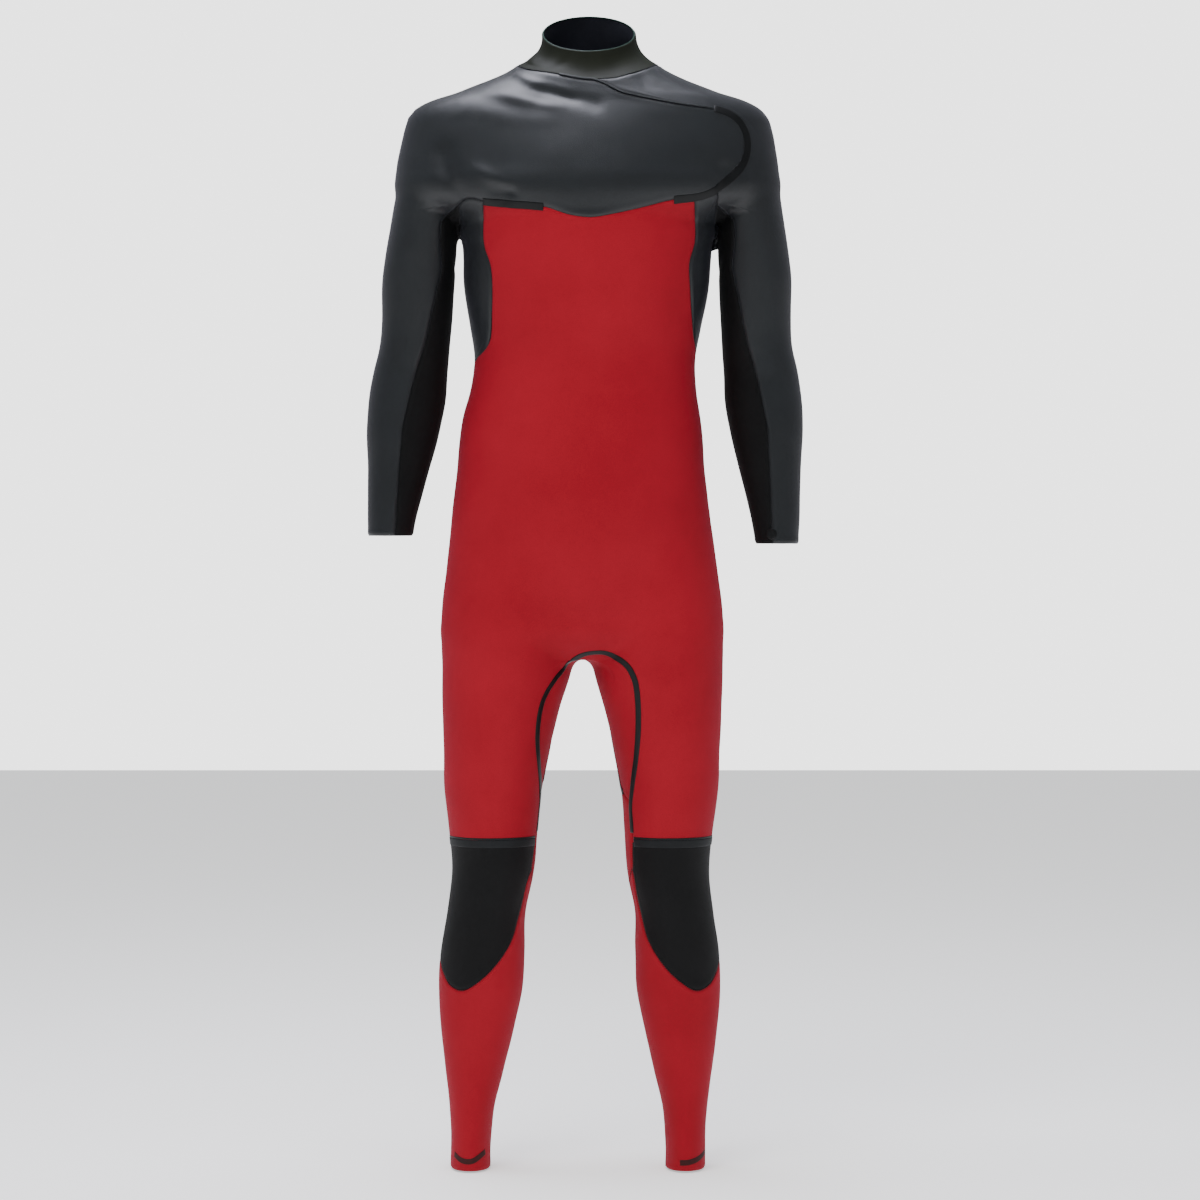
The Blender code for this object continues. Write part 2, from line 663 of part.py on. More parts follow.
def ankleRibs(hand, degrees):
    """Points in rows round an ankle at the given angles."""
    z = np.arange(ANKLE_Z + 18 * MM, ANKLE_RIBS_TOP_Z, 20 * MM)
    rows = [cast(*limbRays(LEG, LEG_MIDDLE, hand, z, np.full(len(z), float(turn)))) for turn in degrees]
    return list(np.vstack(rows))


def joinThrough(line, margin):
    """A seam made to pass through the point where it comes out from under a tape."""
    far = np.linalg.norm(line - line[0], axis=1)
    keep = line[far > 1.7 * np.linalg.norm(margin - line[0])]
    return np.vstack([line[:1], margin[None], keep])


def ledFrom(corner, line, side):
    """A line that is led to from the armpit's corner in short steps, in front or back view."""
    first, last = corner[[0, 2]] / MM, line[0][[0, 2]] / MM
    middle = [last[0] * 0.85 + first[0] * 0.15, last[1] * 0.4 + first[1] * 0.6]
    lead = seenSeam([first, middle, last], 9 * MM, side)
    return np.vstack([corner[None], lead[1:-1], line])


def endsNear(line, inset):
    """A line with one more point near each end, where a tape stops."""
    first = line[0] + (line[1] - line[0]) * inset / np.linalg.norm(line[1] - line[0])
    last = line[-1] + (line[-2] - line[-1]) * inset / np.linalg.norm(line[-2] - line[-1])
    return np.vstack([line[:1], settle(first[None]), line[1:-1], settle(last[None]), line[-1:]])


def makeSeams():
    """Every seam and open edge by name, as points on the form; L and R are the wearer's sides."""
    s = {}
    tight, wide = 13 * MM, 24 * MM
    s["flapEdge"] = seenSeam(FLAP_EDGE, tight)
    s["chestRight"] = seenSeam(CHEST_RIGHT, tight)
    s["chestLeft"] = seenSeam(CHEST_LEFT, 8 * MM)
    s["chestLeft"] = pinned(s["chestLeft"], s["chestRight"][-1], s["flapEdge"][-1])
    neck = {
        "neckRight": (NECK_CREASE_RIGHT_ANGLE, NECK_FLAP_ANGLE),
        "neckFront": (NECK_FLAP_ANGLE, NECK_CREASE_LEFT_ANGLE),
        "neckLeft": (NECK_CREASE_LEFT_ANGLE, NECK_BACK_LEFT_ANGLE),
        "neckBack": (NECK_BACK_LEFT_ANGLE, NECK_BACK_RIGHT_ANGLE),
        "neckRear": (NECK_BACK_RIGHT_ANGLE, NECK_CREASE_RIGHT_ANGLE + 360),
    }
    for name, (first, last) in neck.items():
        s[name] = neckSeam(first, last, 14 * MM)
    s["flapEdge"] = pinned(s["flapEdge"], s["neckFront"][0])
    s["pitL"] = pinned(seenSeam(PIT_REACH_LEFT, 12 * MM), s["flapEdge"][-1])
    s["pitR"] = pinned(seenSeam(PIT_REACH_RIGHT, 14 * MM), s["chestRight"][0])
    s["creaseR"] = pinned(seenSeam(CREASE_RIGHT, wide), s["neckRight"][0], s["pitR"][-1])
    s["creaseL"] = pinned(seenSeam(CREASE_LEFT, wide), s["neckLeft"][0], s["pitL"][-1])
    s["yokeFoot"] = seenSeam(YOKE_FOOT, wide, 1)
    s["gussetFront"] = seenSeam(GUSSET_FRONT, tight)
    for hand, side in ((1, "L"), (-1, "R")):
        flip = np.array([hand, 1])
        raglan = seenSeam(np.array(BACK_RAGLAN) * flip, wide, 1)
        s["raglan" + side] = pinned(raglan, s["neckBack"][0 if hand > 0 else -1])
        corner = seenSeam(np.array(YOKE_CORNER) * flip, wide, 1)
        s["corner" + side] = pinned(corner, s["yokeFoot"][-1 if hand > 0 else 0], raglan[-1])
        s["pitLine" + side] = armpitSeam(s["pit" + side][-1], raglan[-1], 16 * MM)
        arm = (ARM, ARM_MIDDLE, hand)
        front = limbSeam(*arm, SLEEVE_FRONT, SLEEVE_SEAM_TOP_Z, CUFF_Z[side], wide)
        back = limbSeam(*arm, SLEEVE_BACK, SLEEVE_SEAM_TOP_Z, CUFF_Z[side], wide)
        s["sleeveFront" + side] = ledFrom(s["pit" + side][-1], front, -1)
        s["sleeveBack" + side] = ledFrom(raglan[-1], back, 1)
        angles = [float(np.interp(CUFF_Z[side] / MM, *np.array(sorted(rows), dtype=float).T))
                  for rows in (SLEEVE_FRONT, SLEEVE_BACK)]
        outer = limbRing(*arm, CUFF_Z[side], angles[0], angles[1] - 360, 13 * MM)
        inner = limbRing(*arm, CUFF_Z[side], angles[0], angles[1], 13 * MM)
        s["cuffOuter" + side] = pinned(outer, front[-1], back[-1])
        s["cuffInner" + side] = pinned(inner, front[-1], back[-1])
        leg = (LEG, LEG_MIDDLE, hand)
        sideFront = seenSeam(SIDE_FRONT_LEFT if hand > 0 else SIDE_FRONT_RIGHT, 13 * MM)
        upper = limbSeam(*leg, SIDE_LINE, sideFront[-1][2], PAD_TOP_Z, wide)
        top = s["chestRight"][-1 if hand > 0 else 0]
        s["sideFront" + side] = pinned(sideFront, top, upper[0])
        s["sideBack" + side] = pinned(seenSeam(np.array(SIDE_BACK) * flip, 14 * MM, 1),
                                      s["corner" + side][0], upper[0])
        s["sideUpper" + side] = upper
        foot = seenSeam([(middleAt(LEG_MIDDLE, z * MM) / MM + hand * x, z) for z, x in PAD_FOOT], 14 * MM)
        s["sidePad" + side] = limbSeam(*leg, SIDE_LINE, PAD_TOP_Z, foot[-1][2], wide)
        s["sideShin" + side] = limbSeam(*leg, SIDE_LINE, foot[-1][2], ANKLE_Z, wide)
        s["innerUpper" + side] = limbSeam(*leg, INNER_LEG[side], FORK_Z, PAD_TOP_Z, 9 * MM)
        s["innerPad" + side] = limbSeam(*leg, INNER_LEG[side], PAD_TOP_Z, foot[0][2], 12 * MM)
        s["innerShin" + side] = limbSeam(*leg, INNER_LEG[side], foot[0][2], ANKLE_Z, wide)
        s["padFoot" + side] = pinned(foot, s["innerPad" + side][-1], s["sidePad" + side][-1])
        kneeTurn = float(np.interp(PAD_TOP_Z / MM, *np.array(sorted(INNER_LEG[side]), dtype=float).T))
        padTop = limbRing(*leg, PAD_TOP_Z, 0, kneeTurn, 13 * MM)
        s["padTop" + side] = endsNear(pinned(padTop, upper[-1], s["innerUpper" + side][-1]), 3 * MM)
        s["ankleFront" + side] = limbRing(*leg, ANKLE_Z, 0, 178, 18 * MM)
        s["ankleBack" + side] = limbRing(*leg, ANKLE_Z, 360, 178, 18 * MM)
        s["forkBack" + side] = limbSeam(*leg, FORK_BACK[side], FORK_Z, SEAT_SEAM_Z, 13 * MM)
        for name in ("ankleFront", "ankleBack"):
            s[name + side] = pinned(s[name + side], s["sideShin" + side][-1], s["innerShin" + side][-1])
    s["gussetFront"] = pinned(s["gussetFront"], s["innerUpperR"][0], s["innerUpperL"][0])
    backTop = seenSeam(GUSSET_BACK_TOP, 13 * MM, 1)
    s["gussetBack"] = np.vstack([s["forkBackR"][:-1], backTop, s["forkBackL"][:-1][::-1]])
    s["gussetBack"] = spaced(s["gussetBack"], 13 * MM)
    s["gussetBack"][1:-1] = settle(s["gussetBack"][1:-1])
    for hand, side in ((1, "L"), (-1, "R")):
        seat = limbRing(LEG, LEG_MIDDLE, hand, SEAT_SEAM_Z, *SEAT_SEAM_ENDS, 24 * MM)
        upper, corner = s["sideUpper" + side], backTop[-1 if hand > 0 else 0]
        inner = s["gussetBack"]
        s["seat" + side] = pinned(seat, upper[nearestIn(upper, seat[0])], inner[nearestIn(inner, corner)])
    return s


def back(line):
    return line[::-1]


def nearestIn(line, p):
    return int(np.argmin(np.linalg.norm(line - p, axis=1)))


def parted(line, p):
    """The two runs of a line on either side of one of its own points."""
    k = nearestIn(line, p)
    return line[: k + 1], line[k:]


def makeTapes(s):
    """The tapes' lines with their margins; seams that meet one go on from its edge."""
    t = {}
    first = int(np.argmin(np.linalg.norm(s["flapEdge"] - seenSeam([(158, -46), (159, -46)], 1)[0], axis=1)))
    stretch = [s["flapEdge"][first:-1], back(s["chestLeft"])[:-1], back(s["chestRight"])[:3]]
    ends = np.cumsum([len(run) for run in stretch])
    line = np.vstack(stretch)
    t["shoulder"] = {"line": line, "sides": strip(line, SHOULDER_TAPE), "turns": [int(e) for e in ends[:2]]}
    line = s["chestRight"][: 1 + int(np.argmin(np.abs(s["chestRight"][:, 0] + 54 * MM)))]
    t["chest"] = {"line": line, "sides": strip(line, CHEST_TAPE), "turns": []}
    legs = [s["innerUpper" + side][s["innerUpper" + side][:, 2] > TAPE_FOOT_Z] for side in "RL"]
    line = np.vstack([back(legs[0])[:-1], s["gussetFront"], legs[1][1:]])
    turns = [len(legs[0]) - 1, len(legs[0]) + len(s["gussetFront"]) - 2]
    t["gusset"] = {"line": line, "sides": strip(line, GUSSET_TAPE), "turns": turns}
    for side in "LR":
        line = s["padTop" + side][1:-1]
        t["knee" + side] = {"line": line, "sides": strip(line, KNEE_BAND), "turns": []}
    # Which margin is inside the flap, and which is above the line.
    middle = len(t["shoulder"]["line"]) // 3
    t["shoulder"]["inner"] = int(t["shoulder"]["sides"][0][middle][0] > t["shoulder"]["sides"][1][middle][0])
    for name in ("chest", "gusset", "kneeL", "kneeR"):
        middle = len(t[name]["line"]) // 2
        t[name]["above"] = int(t[name]["sides"][0][middle][2] < t[name]["sides"][1][middle][2])
    outer, below = t["shoulder"]["sides"][1 - t["shoulder"]["inner"]], t["chest"]["sides"][1 - t["chest"]["above"]]
    s["pitL"] = joinThrough(s["pitL"], outer[t["shoulder"]["turns"][0]])
    s["sideFrontL"] = joinThrough(s["sideFrontL"], outer[t["shoulder"]["turns"][1]])
    s["sideFrontR"] = joinThrough(s["sideFrontR"], below[0])
    under = t["gusset"]["sides"][1 - t["gusset"]["above"]]
    s["gussetBack"] = joinThrough(s["gussetBack"], under[t["gusset"]["turns"][0]])
    s["gussetBack"] = joinThrough(s["gussetBack"][::-1], under[t["gusset"]["turns"][1]])[::-1]
    return t


def tapeRun(tape, first, last, hand):
    """A stretch of a tape for the panel on one of its sides: 0 is its left, 1 its right."""
    return tape["line"][first:last], tape["sides"][hand][first:last]


def sleeveBlock(panel, s, side, hand, neck):
    """The part of a sleeve and shoulder piece from the crease round to the back seam."""
    view, lift = sleeveView(hand, False)
    seams = [s["crease" + side], s["sleeveFront" + side], s["cuffOuter" + side], back(s["sleeveBack" + side]),
             back(s["raglan" + side]), neck]
    panel.block(seams, view, lift, SLEEVE_STEP)


def chestFlap(s, t):
    panel = Panel()
    tape = t["shoulder"]
    seams = [s["flapEdge"], back(s["chestLeft"]), back(s["chestRight"]), s["pitR"], back(s["creaseR"]),
             s["neckRight"]]
    tapes = [tapeRun(tape, 0, None, tape["inner"]), tapeRun(t["chest"], 0, None, t["chest"]["above"])]
    panel.block(seams, frontView, frontLift, CHEST_STEP, tapes)
    sleeveBlock(panel, s, "R", -1, s["neckRear"])
    return panel


def shoulderLeft(s, t):
    panel = Panel()
    tape = t["shoulder"]
    seams = [s["neckFront"], s["creaseL"], back(s["pitL"]), back(s["flapEdge"])]
    panel.block(seams, frontView, frontLift, CHEST_STEP,
                [tapeRun(tape, 0, tape["turns"][0] + 1, 1 - tape["inner"])])
    sleeveBlock(panel, s, "L", 1, back(s["neckLeft"]))
    return panel


def underSleeve(s, side, hand):
    panel = Panel()
    view, lift = sleeveView(hand, True)
    seams = [s["sleeveFront" + side], s["cuffInner" + side], back(s["sleeveBack" + side]),
             back(s["pitLine" + side])]
    panel.block(seams, view, lift, SLEEVE_STEP)
    return panel


def backYoke(s):
    panel = Panel()
    seams = [s["neckBack"], s["raglanR"], back(s["cornerR"]), s["yokeFoot"], s["cornerL"], back(s["raglanL"])]
    panel.block(seams, frontView, backLift, BODY_STEP)
    return panel


def sidePanel(s, t, side, hand):
    panel = Panel()
    tape = t["shoulder"]
    top = [s["chestLeft"], s["pitL"]] if side == "L" else [s["pitR"]]
    seams = top + [s["pitLine" + side], back(s["corner" + side]), s["sideBack" + side],
                   back(s["sideFront" + side])]
    tapes = []
    if side == "L":
        tapes = [tapeRun(tape, tape["turns"][0], tape["turns"][1] + 1, 1 - tape["inner"])]
    panel.block(seams, sideView, sideLift(hand), SLEEVE_STEP, tapes)
    return panel


def frontBody(s, t):
    panel = Panel()
    seams = [s["chestRight"], s["sideFrontL"], s["sideUpperL"], s["padTopL"], back(s["innerUpperL"]),
             back(s["gussetFront"]), s["innerUpperR"], back(s["padTopR"]), back(s["sideUpperR"]),
             back(s["sideFrontR"])]
    shoulder, gusset = t["shoulder"], t["gusset"]
    tapes = [tapeRun(shoulder, shoulder["turns"][1], None, 1 - shoulder["inner"]),
             tapeRun(t["chest"], 0, None, 1 - t["chest"]["above"]),
             tapeRun(gusset, 0, None, gusset["above"])]
    tapes += [tapeRun(t["knee" + side], 0, None, t["knee" + side]["above"]) for side in "LR"]
    panel.block(seams, frontView, frontLift, BODY_STEP, tapes)
    return panel


def backBody(s):
    panel = Panel()
    upper = {side: parted(s["sideUpper" + side], s["seat" + side][0])[0] for side in "LR"}
    gusset = parted(parted(s["gussetBack"], s["seatL"][-1])[0], s["seatR"][-1])[1]
    seams = [s["yokeFoot"], s["sideBackL"], upper["L"], s["seatL"], back(gusset), back(s["seatR"]),
             back(upper["R"]), back(s["sideBackR"])]
    panel.block(seams, frontView, backLift, BODY_STEP)
    return panel


def backLeg(s, t, side, hand):
    panel = Panel()
    outer = [parted(s["sideUpper" + side], s["seat" + side][0])[1], s["sidePad" + side], s["sideShin" + side]]
    inner = [s["innerUpper" + side], s["innerPad" + side], s["innerShin" + side]]
    gusset = parted(s["gussetBack"], s["seat" + side][-1])
    tape = t["gusset"]
    first, last = tape["turns"]
    if hand > 0:
        inner = [back(line) for line in reversed(inner)]
        seams = [back(s["seatL"]), *outer, s["ankleBackL"], *inner, back(gusset[1])]
        run = tapeRun(tape, last, None, 1 - tape["above"])
    else:
        outer = [back(line) for line in reversed(outer)]
        seams = [s["seatR"], back(gusset[0]), *inner, back(s["ankleBackR"]), *outer]
        run = tapeRun(tape, 0, first + 1, 1 - tape["above"])
    steps = ((BODY_STEP, FORK_Z, math.inf), (LEG_STEP, -math.inf, FORK_Z - LEG_STEP / 2))
    panel.block(seams, frontView, backLift, steps, [run], ankleRibs(hand, (228, 270, 312)))
    return panel


def gussetPanel(s, t):
    panel = Panel()
    gusset = t["gusset"]
    first, last = gusset["turns"]
    panel.block([s["gussetFront"], back(s["gussetBack"])], gussetView, settleLift, SLEEVE_STEP,
                [tapeRun(gusset, first, last + 1, 1 - gusset["above"])])
    return panel


def settleLift(q):
    """Puts the gusset's flat points back under the crotch and inside the legs."""
    y, v = q.T
    drop = np.maximum(0, np.abs(v) - 30 * MM)
    x = np.sign(v) * np.minimum(np.abs(v), 30 * MM + 0.3 * drop)
    z = -728 * MM - 0.8 * drop
    return settle(np.stack([middleAt(LEG_MIDDLE, z) + x, y, z], axis=1), 12)


def kneePad(s, t, side):
    panel = Panel()
    knee = t["knee" + side]
    seams = [s["padTop" + side], s["innerPad" + side], s["padFoot" + side], back(s["sidePad" + side])]
    panel.block(seams, frontView, frontLift, LEG_STEP, [tapeRun(knee, 0, None, 1 - knee["above"])])
    return panel


def shin(s, side, hand):
    panel = Panel()
    seams = [s["padFoot" + side], s["sideShin" + side], s["ankleFront" + side], back(s["innerShin" + side])]
    panel.block(seams, frontView, frontLift, LEG_STEP, (), ankleRibs(hand, (48, 90, 132)))
    return panel


def collar(s):
    """The neck tube, from the neck seam's own points up to the tilted rim."""
    foot = np.vstack([s[name][:-1] for name in ("neckRight", "neckFront", "neckLeft", "neckBack", "neckRear")])
    out = slopeOf(foot)
    along = np.roll(foot, -1, axis=0) - np.roll(foot, 1, axis=0)
    up = np.cross(out, along)
    up /= np.linalg.norm(up, axis=1)[:, None]
    up *= np.sign(up[:, 2])[:, None]
    c = {key: value * MM for key, value in COLLAR_RIM.items()}
    turn = np.arctan2(foot[:, 1] - c["y"], foot[:, 0] - c["x"])
    rim = np.stack([c["x"] + c["wide"] * np.cos(turn), c["y"] + c["deep"] * np.sin(turn),
                    c["z"] + c["rise"] * np.sin(turn)], axis=1)
    rings = [foot + up * SEAM_HALF_GAP]
    for k in range(1, COLLAR_RINGS + 1):
        share = k / COLLAR_RINGS
        flare = (1 - share) ** COLLAR_FLARE
        ring = rim + (foot - rim) * flare
        ring[:, 2] = foot[:, 2] + (rim[:, 2] - foot[:, 2]) * share
        rings.append(ring)
    skin = np.stack(rings)
    normals = np.cross(np.roll(skin, -1, axis=1) - np.roll(skin, 1, axis=1), np.gradient(skin, axis=0))
    normals /= np.linalg.norm(normals, axis=2)[..., None]
    normals *= np.sign((normals * (skin - skin.mean(axis=1, keepdims=True))).sum(axis=2))[..., None]
    normals[0] = out
    n, sides = COLLAR_RINGS + 1, len(foot)
    points = np.vstack([skin.reshape(-1, 3), (skin - normals * COLLAR_WALL).reshape(-1, 3)])
    faces = []
    for i in range(sides):
        j = (i + 1) % sides
        for k in range(n - 1):
            a, b, c1, d = k * sides + i, k * sides + j, (k + 1) * sides + j, (k + 1) * sides + i
            inner = n * sides
            faces += [[a, b, c1], [a, c1, d], [a + inner, c1 + inner, b + inner], [a + inner, d + inner, c1 + inner]]
        top = (n - 1) * sides
        faces += [[top + i, top + j, top + j + inner], [top + i, top + j + inner, top + i + inner]]
        faces += [[j, i, i + inner], [j, i + inner, j + inner]]
    return points, faces


def cuffPatch(s):
    """The round patch at the end of the left sleeve's front seam."""
    seam = s["sleeveFrontL"]
    middle = np.array([np.interp(-PATCH_Z, -seam[:, 2], seam[:, k]) for k in range(3)])
    middle = settle(middle[None])[0]
    out = slopeOf(middle[None])[0]
    across = np.cross(out, [0.0, 0.0, 1.0])
    across /= np.linalg.norm(across)
    up = np.cross(across, out)
    turn = np.arange(PATCH_SIDES) * 2 * math.pi / PATCH_SIDES
    ring = np.cos(turn)[:, None] * across + np.sin(turn)[:, None] * up
    skin = settle(np.vstack([middle[None], middle + ring * PATCH_RADIUS / 2, middle + ring * PATCH_RADIUS]))
    normals = slopeOf(skin)
    top = []
    for i in range(PATCH_SIDES):
        j = (i + 1) % PATCH_SIDES
        a, b, c, d = 1 + i, 1 + j, 1 + PATCH_SIDES + j, 1 + PATCH_SIDES + i
        top += [[0, a, b], [a, c, b], [a, d, c]]
    n = len(skin)
    faces = top + [[c + n, b + n, a + n] for a, b, c in top]
    for a, b in rimEdges(np.array(top)):
        faces += [[b, a, a + n], [b, a + n, b + n]]
    return np.vstack([skin + normals * (TAPE_LIFT + TAPE_THICK), skin + normals * TAPE_LIFT]), faces


def main():
    for thing in list(bpy.data.objects):
        bpy.data.objects.remove(thing)
    smooth = rubber("smooth_skin", (0.028, 0.032, 0.022), 0.32)
    charcoal = rubber("charcoal_jersey", (0.026, 0.031, 0.034), 0.62)
    black = rubber("black_jersey", (0.010, 0.010, 0.011), 0.75)
    red = rubber("red_jersey", (0.36, 0.012, 0.015), 0.72)
    tape = rubber("seam_tape", (0.012, 0.015, 0.016), 0.5)
    s = makeSeams()
    t = makeTapes(s)
    pieces = {
        "chest_flap": (chestFlap(s, t), charcoal),
        "shoulder_left": (shoulderLeft(s, t), charcoal),
        "back_yoke": (backYoke(s), charcoal),
        "front_body": (frontBody(s, t), red),
        "back_body": (backBody(s), red),
        "gusset": (gussetPanel(s, t), red),
    }
    for side, hand, word in (("L", 1, "left"), ("R", -1, "right")):
        pieces["undersleeve_" + word] = (underSleeve(s, side, hand), black)
        pieces["side_" + word] = (sidePanel(s, t, side, hand), charcoal)
        pieces["back_leg_" + word] = (backLeg(s, t, side, hand), red)
        pieces["knee_" + word] = (kneePad(s, t, side), black)
        pieces["shin_" + word] = (shin(s, side, hand), red)
    addObject("collar", collar(s), smooth)
    for name, (panel, material) in pieces.items():
        addObject(name, wallSolid(panel), material)
    addObject("cuff_patch", cuffPatch(s), tape)
    for name in ("shoulder", "chest", "gusset"):
        run = t[name]
        addObject("tape_" + name, tapeSolid([(run["sides"][0], run["line"], run["sides"][1])]), tape)
    for side, word in (("L", "left"), ("R", "right")):
        run = t["knee" + side]
        addObject("knee_band_" + word, tapeSolid([(run["sides"][0], run["line"], run["sides"][1])]), tape)


if __name__ == "__main__":
    main()
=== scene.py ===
# A steamer wetsuit, standing as worn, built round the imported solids. Metres, +Z up, front to -Y.
# Every panel is a grid between its seams, laid on one form, then given folds, seam grooves and a wall.
import math

import bpy
import numpy as np
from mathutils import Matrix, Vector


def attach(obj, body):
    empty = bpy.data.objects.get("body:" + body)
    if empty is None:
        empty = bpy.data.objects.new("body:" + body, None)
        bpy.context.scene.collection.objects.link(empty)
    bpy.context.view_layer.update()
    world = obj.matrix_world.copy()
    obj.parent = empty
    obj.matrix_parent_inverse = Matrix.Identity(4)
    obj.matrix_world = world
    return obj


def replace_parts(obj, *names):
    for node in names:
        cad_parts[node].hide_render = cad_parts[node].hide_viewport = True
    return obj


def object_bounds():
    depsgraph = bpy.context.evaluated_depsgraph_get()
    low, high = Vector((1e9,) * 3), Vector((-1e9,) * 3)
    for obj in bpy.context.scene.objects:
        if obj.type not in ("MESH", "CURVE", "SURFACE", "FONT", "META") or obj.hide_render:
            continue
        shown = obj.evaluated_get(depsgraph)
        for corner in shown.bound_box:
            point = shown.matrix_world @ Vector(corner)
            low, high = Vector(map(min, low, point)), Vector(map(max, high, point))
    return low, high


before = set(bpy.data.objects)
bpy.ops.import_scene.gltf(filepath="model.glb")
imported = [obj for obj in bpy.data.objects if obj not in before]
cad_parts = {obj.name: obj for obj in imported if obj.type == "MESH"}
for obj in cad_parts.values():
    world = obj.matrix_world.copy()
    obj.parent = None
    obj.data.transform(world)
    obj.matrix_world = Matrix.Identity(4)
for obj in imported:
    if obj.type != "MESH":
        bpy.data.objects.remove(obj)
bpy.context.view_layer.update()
print("frame loaded:", len(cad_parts), "nodes")

mm = 0.001
wall = 3.0 * mm
seamHalfGap = 0.15 * mm
ankleZ = -1384 * mm
padTopZ = -968 * mm
forkZ = -916 * mm
cuffZ = {"L": -592 * mm, "R": -582 * mm}
armMiddle = ((-600, -6), (-150, 0))  # height and x in mm of the line midway between the arms
legMiddle = ((-1400, -13), (-750, -7))

# Sections in mm: height, centre x, half width, centre y, then depth to the front and to the back.
suitSections = {
    "yoke": [
        (60, 2, 55, 8, 50, 56), (40, 2, 62, 8, 54, 60), (28, 2, 72, 8, 58, 64), (20, 1, 82, 8, 62, 68),
        (12, 0, 96, 8, 65, 72), (4, 0, 111, 8, 68, 76), (-4, 0, 129, 8, 72, 80), (-12, 0, 150, 8, 76, 84),
        (-20, 0, 171, 8, 80, 88), (-28, 0, 197, 8, 84, 92), (-37, 0, 216, 8, 88, 95), (-49, 0, 228, 8, 94, 99),
        (-66, 0, 234, 8, 101, 104), (-92, 0, 239, 6, 108, 108), (-118, -1, 242, 4, 113, 110),
        (-142, -1, 243, 2, 116, 110), (-158, -1, 232, 1, 112, 102), (-174, -1, 198, 0, 100, 88),
        (-188, -1, 150, 0, 80, 70),
    ],
    "torso": [
        (0, 0, 70, 4, 30, 30), (-44, 0, 108, 3, 66, 66), (-90, 0, 140, 2, 96, 92), (-142, -1, 162, 0, 116, 108),
        (-180, -1, 160, 0, 119, 107), (-218, -1, 158, 0, 118, 104), (-270, -2, 155, 0, 113, 98),
        (-320, -3, 146, 0, 106, 92), (-360, -4, 140, 0, 101, 89), (-396, -6, 143, 0, 100, 90),
        (-434, -8, 151, 0, 102, 95), (-498, -9, 157, 0, 105, 104), (-560, -9, 164, 0, 105, 114),
        (-625, -8, 170, 2, 101, 120), (-680, -8, 173, 4, 93, 114), (-715, -8, 166, 4, 80, 96),
        (-738, -8, 140, 4, 52, 62),
    ],
    "arm": [
        (-58, 194, 18, 6, 20, 20), (-90, 199, 34, 6, 42, 42), (-142, 203, 40, 5, 57, 56), (-190, 208, 43, 5, 57, 57),
        (-244, 213, 46, 4, 53, 53), (-345, 218, 45, 3, 47, 47), (-371, 222, 47, 2, 46, 47), (-409, 226, 49, -1, 47, 47),
        (-447, 230, 46.5, -7, 45, 45), (-498, 235, 39, -16, 39, 39), (-549, 241, 32, -25, 34, 34),
        (-600, 245, 26, -33, 30, 30),
    ],
    "leg": [
        (-560, 84, 66, 3, 66, 78), (-600, 84, 76, 3, 76, 88), (-640, 84, 84, 3, 84, 96),
        (-700, 91, 87, 3, 88, 100), (-752, 96, 82, 3, 86, 96), (-803, 103, 74, 2, 82, 88),
        (-853, 108, 67, 1, 77, 80), (-904, 112, 61.5, 0, 71, 72), (-955, 111, 56, -1, 65, 64),
        (-1006, 111, 52, -1, 60, 60), (-1057, 119, 49.5, 2, 56, 60), (-1107, 123.5, 53, 8, 55, 64),
        (-1158, 126, 53, 12, 53, 65),
        (-1209, 129.5, 46, 14, 50, 58), (-1260, 132.5, 37, 15, 46, 50), (-1311, 135.5, 28, 14, 43, 45),
        (-1361, 136.5, 25, 12, 43, 43), (-1400, 136.5, 26, 12, 43, 44),
    ],
}
formBlends = {"yoke": 30 * mm, "arm": 8 * mm, "leg": 16 * mm}

# The folds that the solids have as well: both ends in front or back view, depth, half width, side.
mainFolds = [
    (-52, -24, 8, -44, 3.2, 11, "front"),
    (-96, -2, -60, -34, 2.2, 13, "front"),
    (-180, -104, -163, -166, 5.0, 14, "front"),
    (172, -128, 164, -172, 5.0, 14, "front"),
    (-176, -110, -162, -168, 4.0, 14, "back"),
    (176, -110, 162, -168, 4.0, 14, "back"),
    (-118, -152, -104, -165, 2.6, 9, "front"),
]

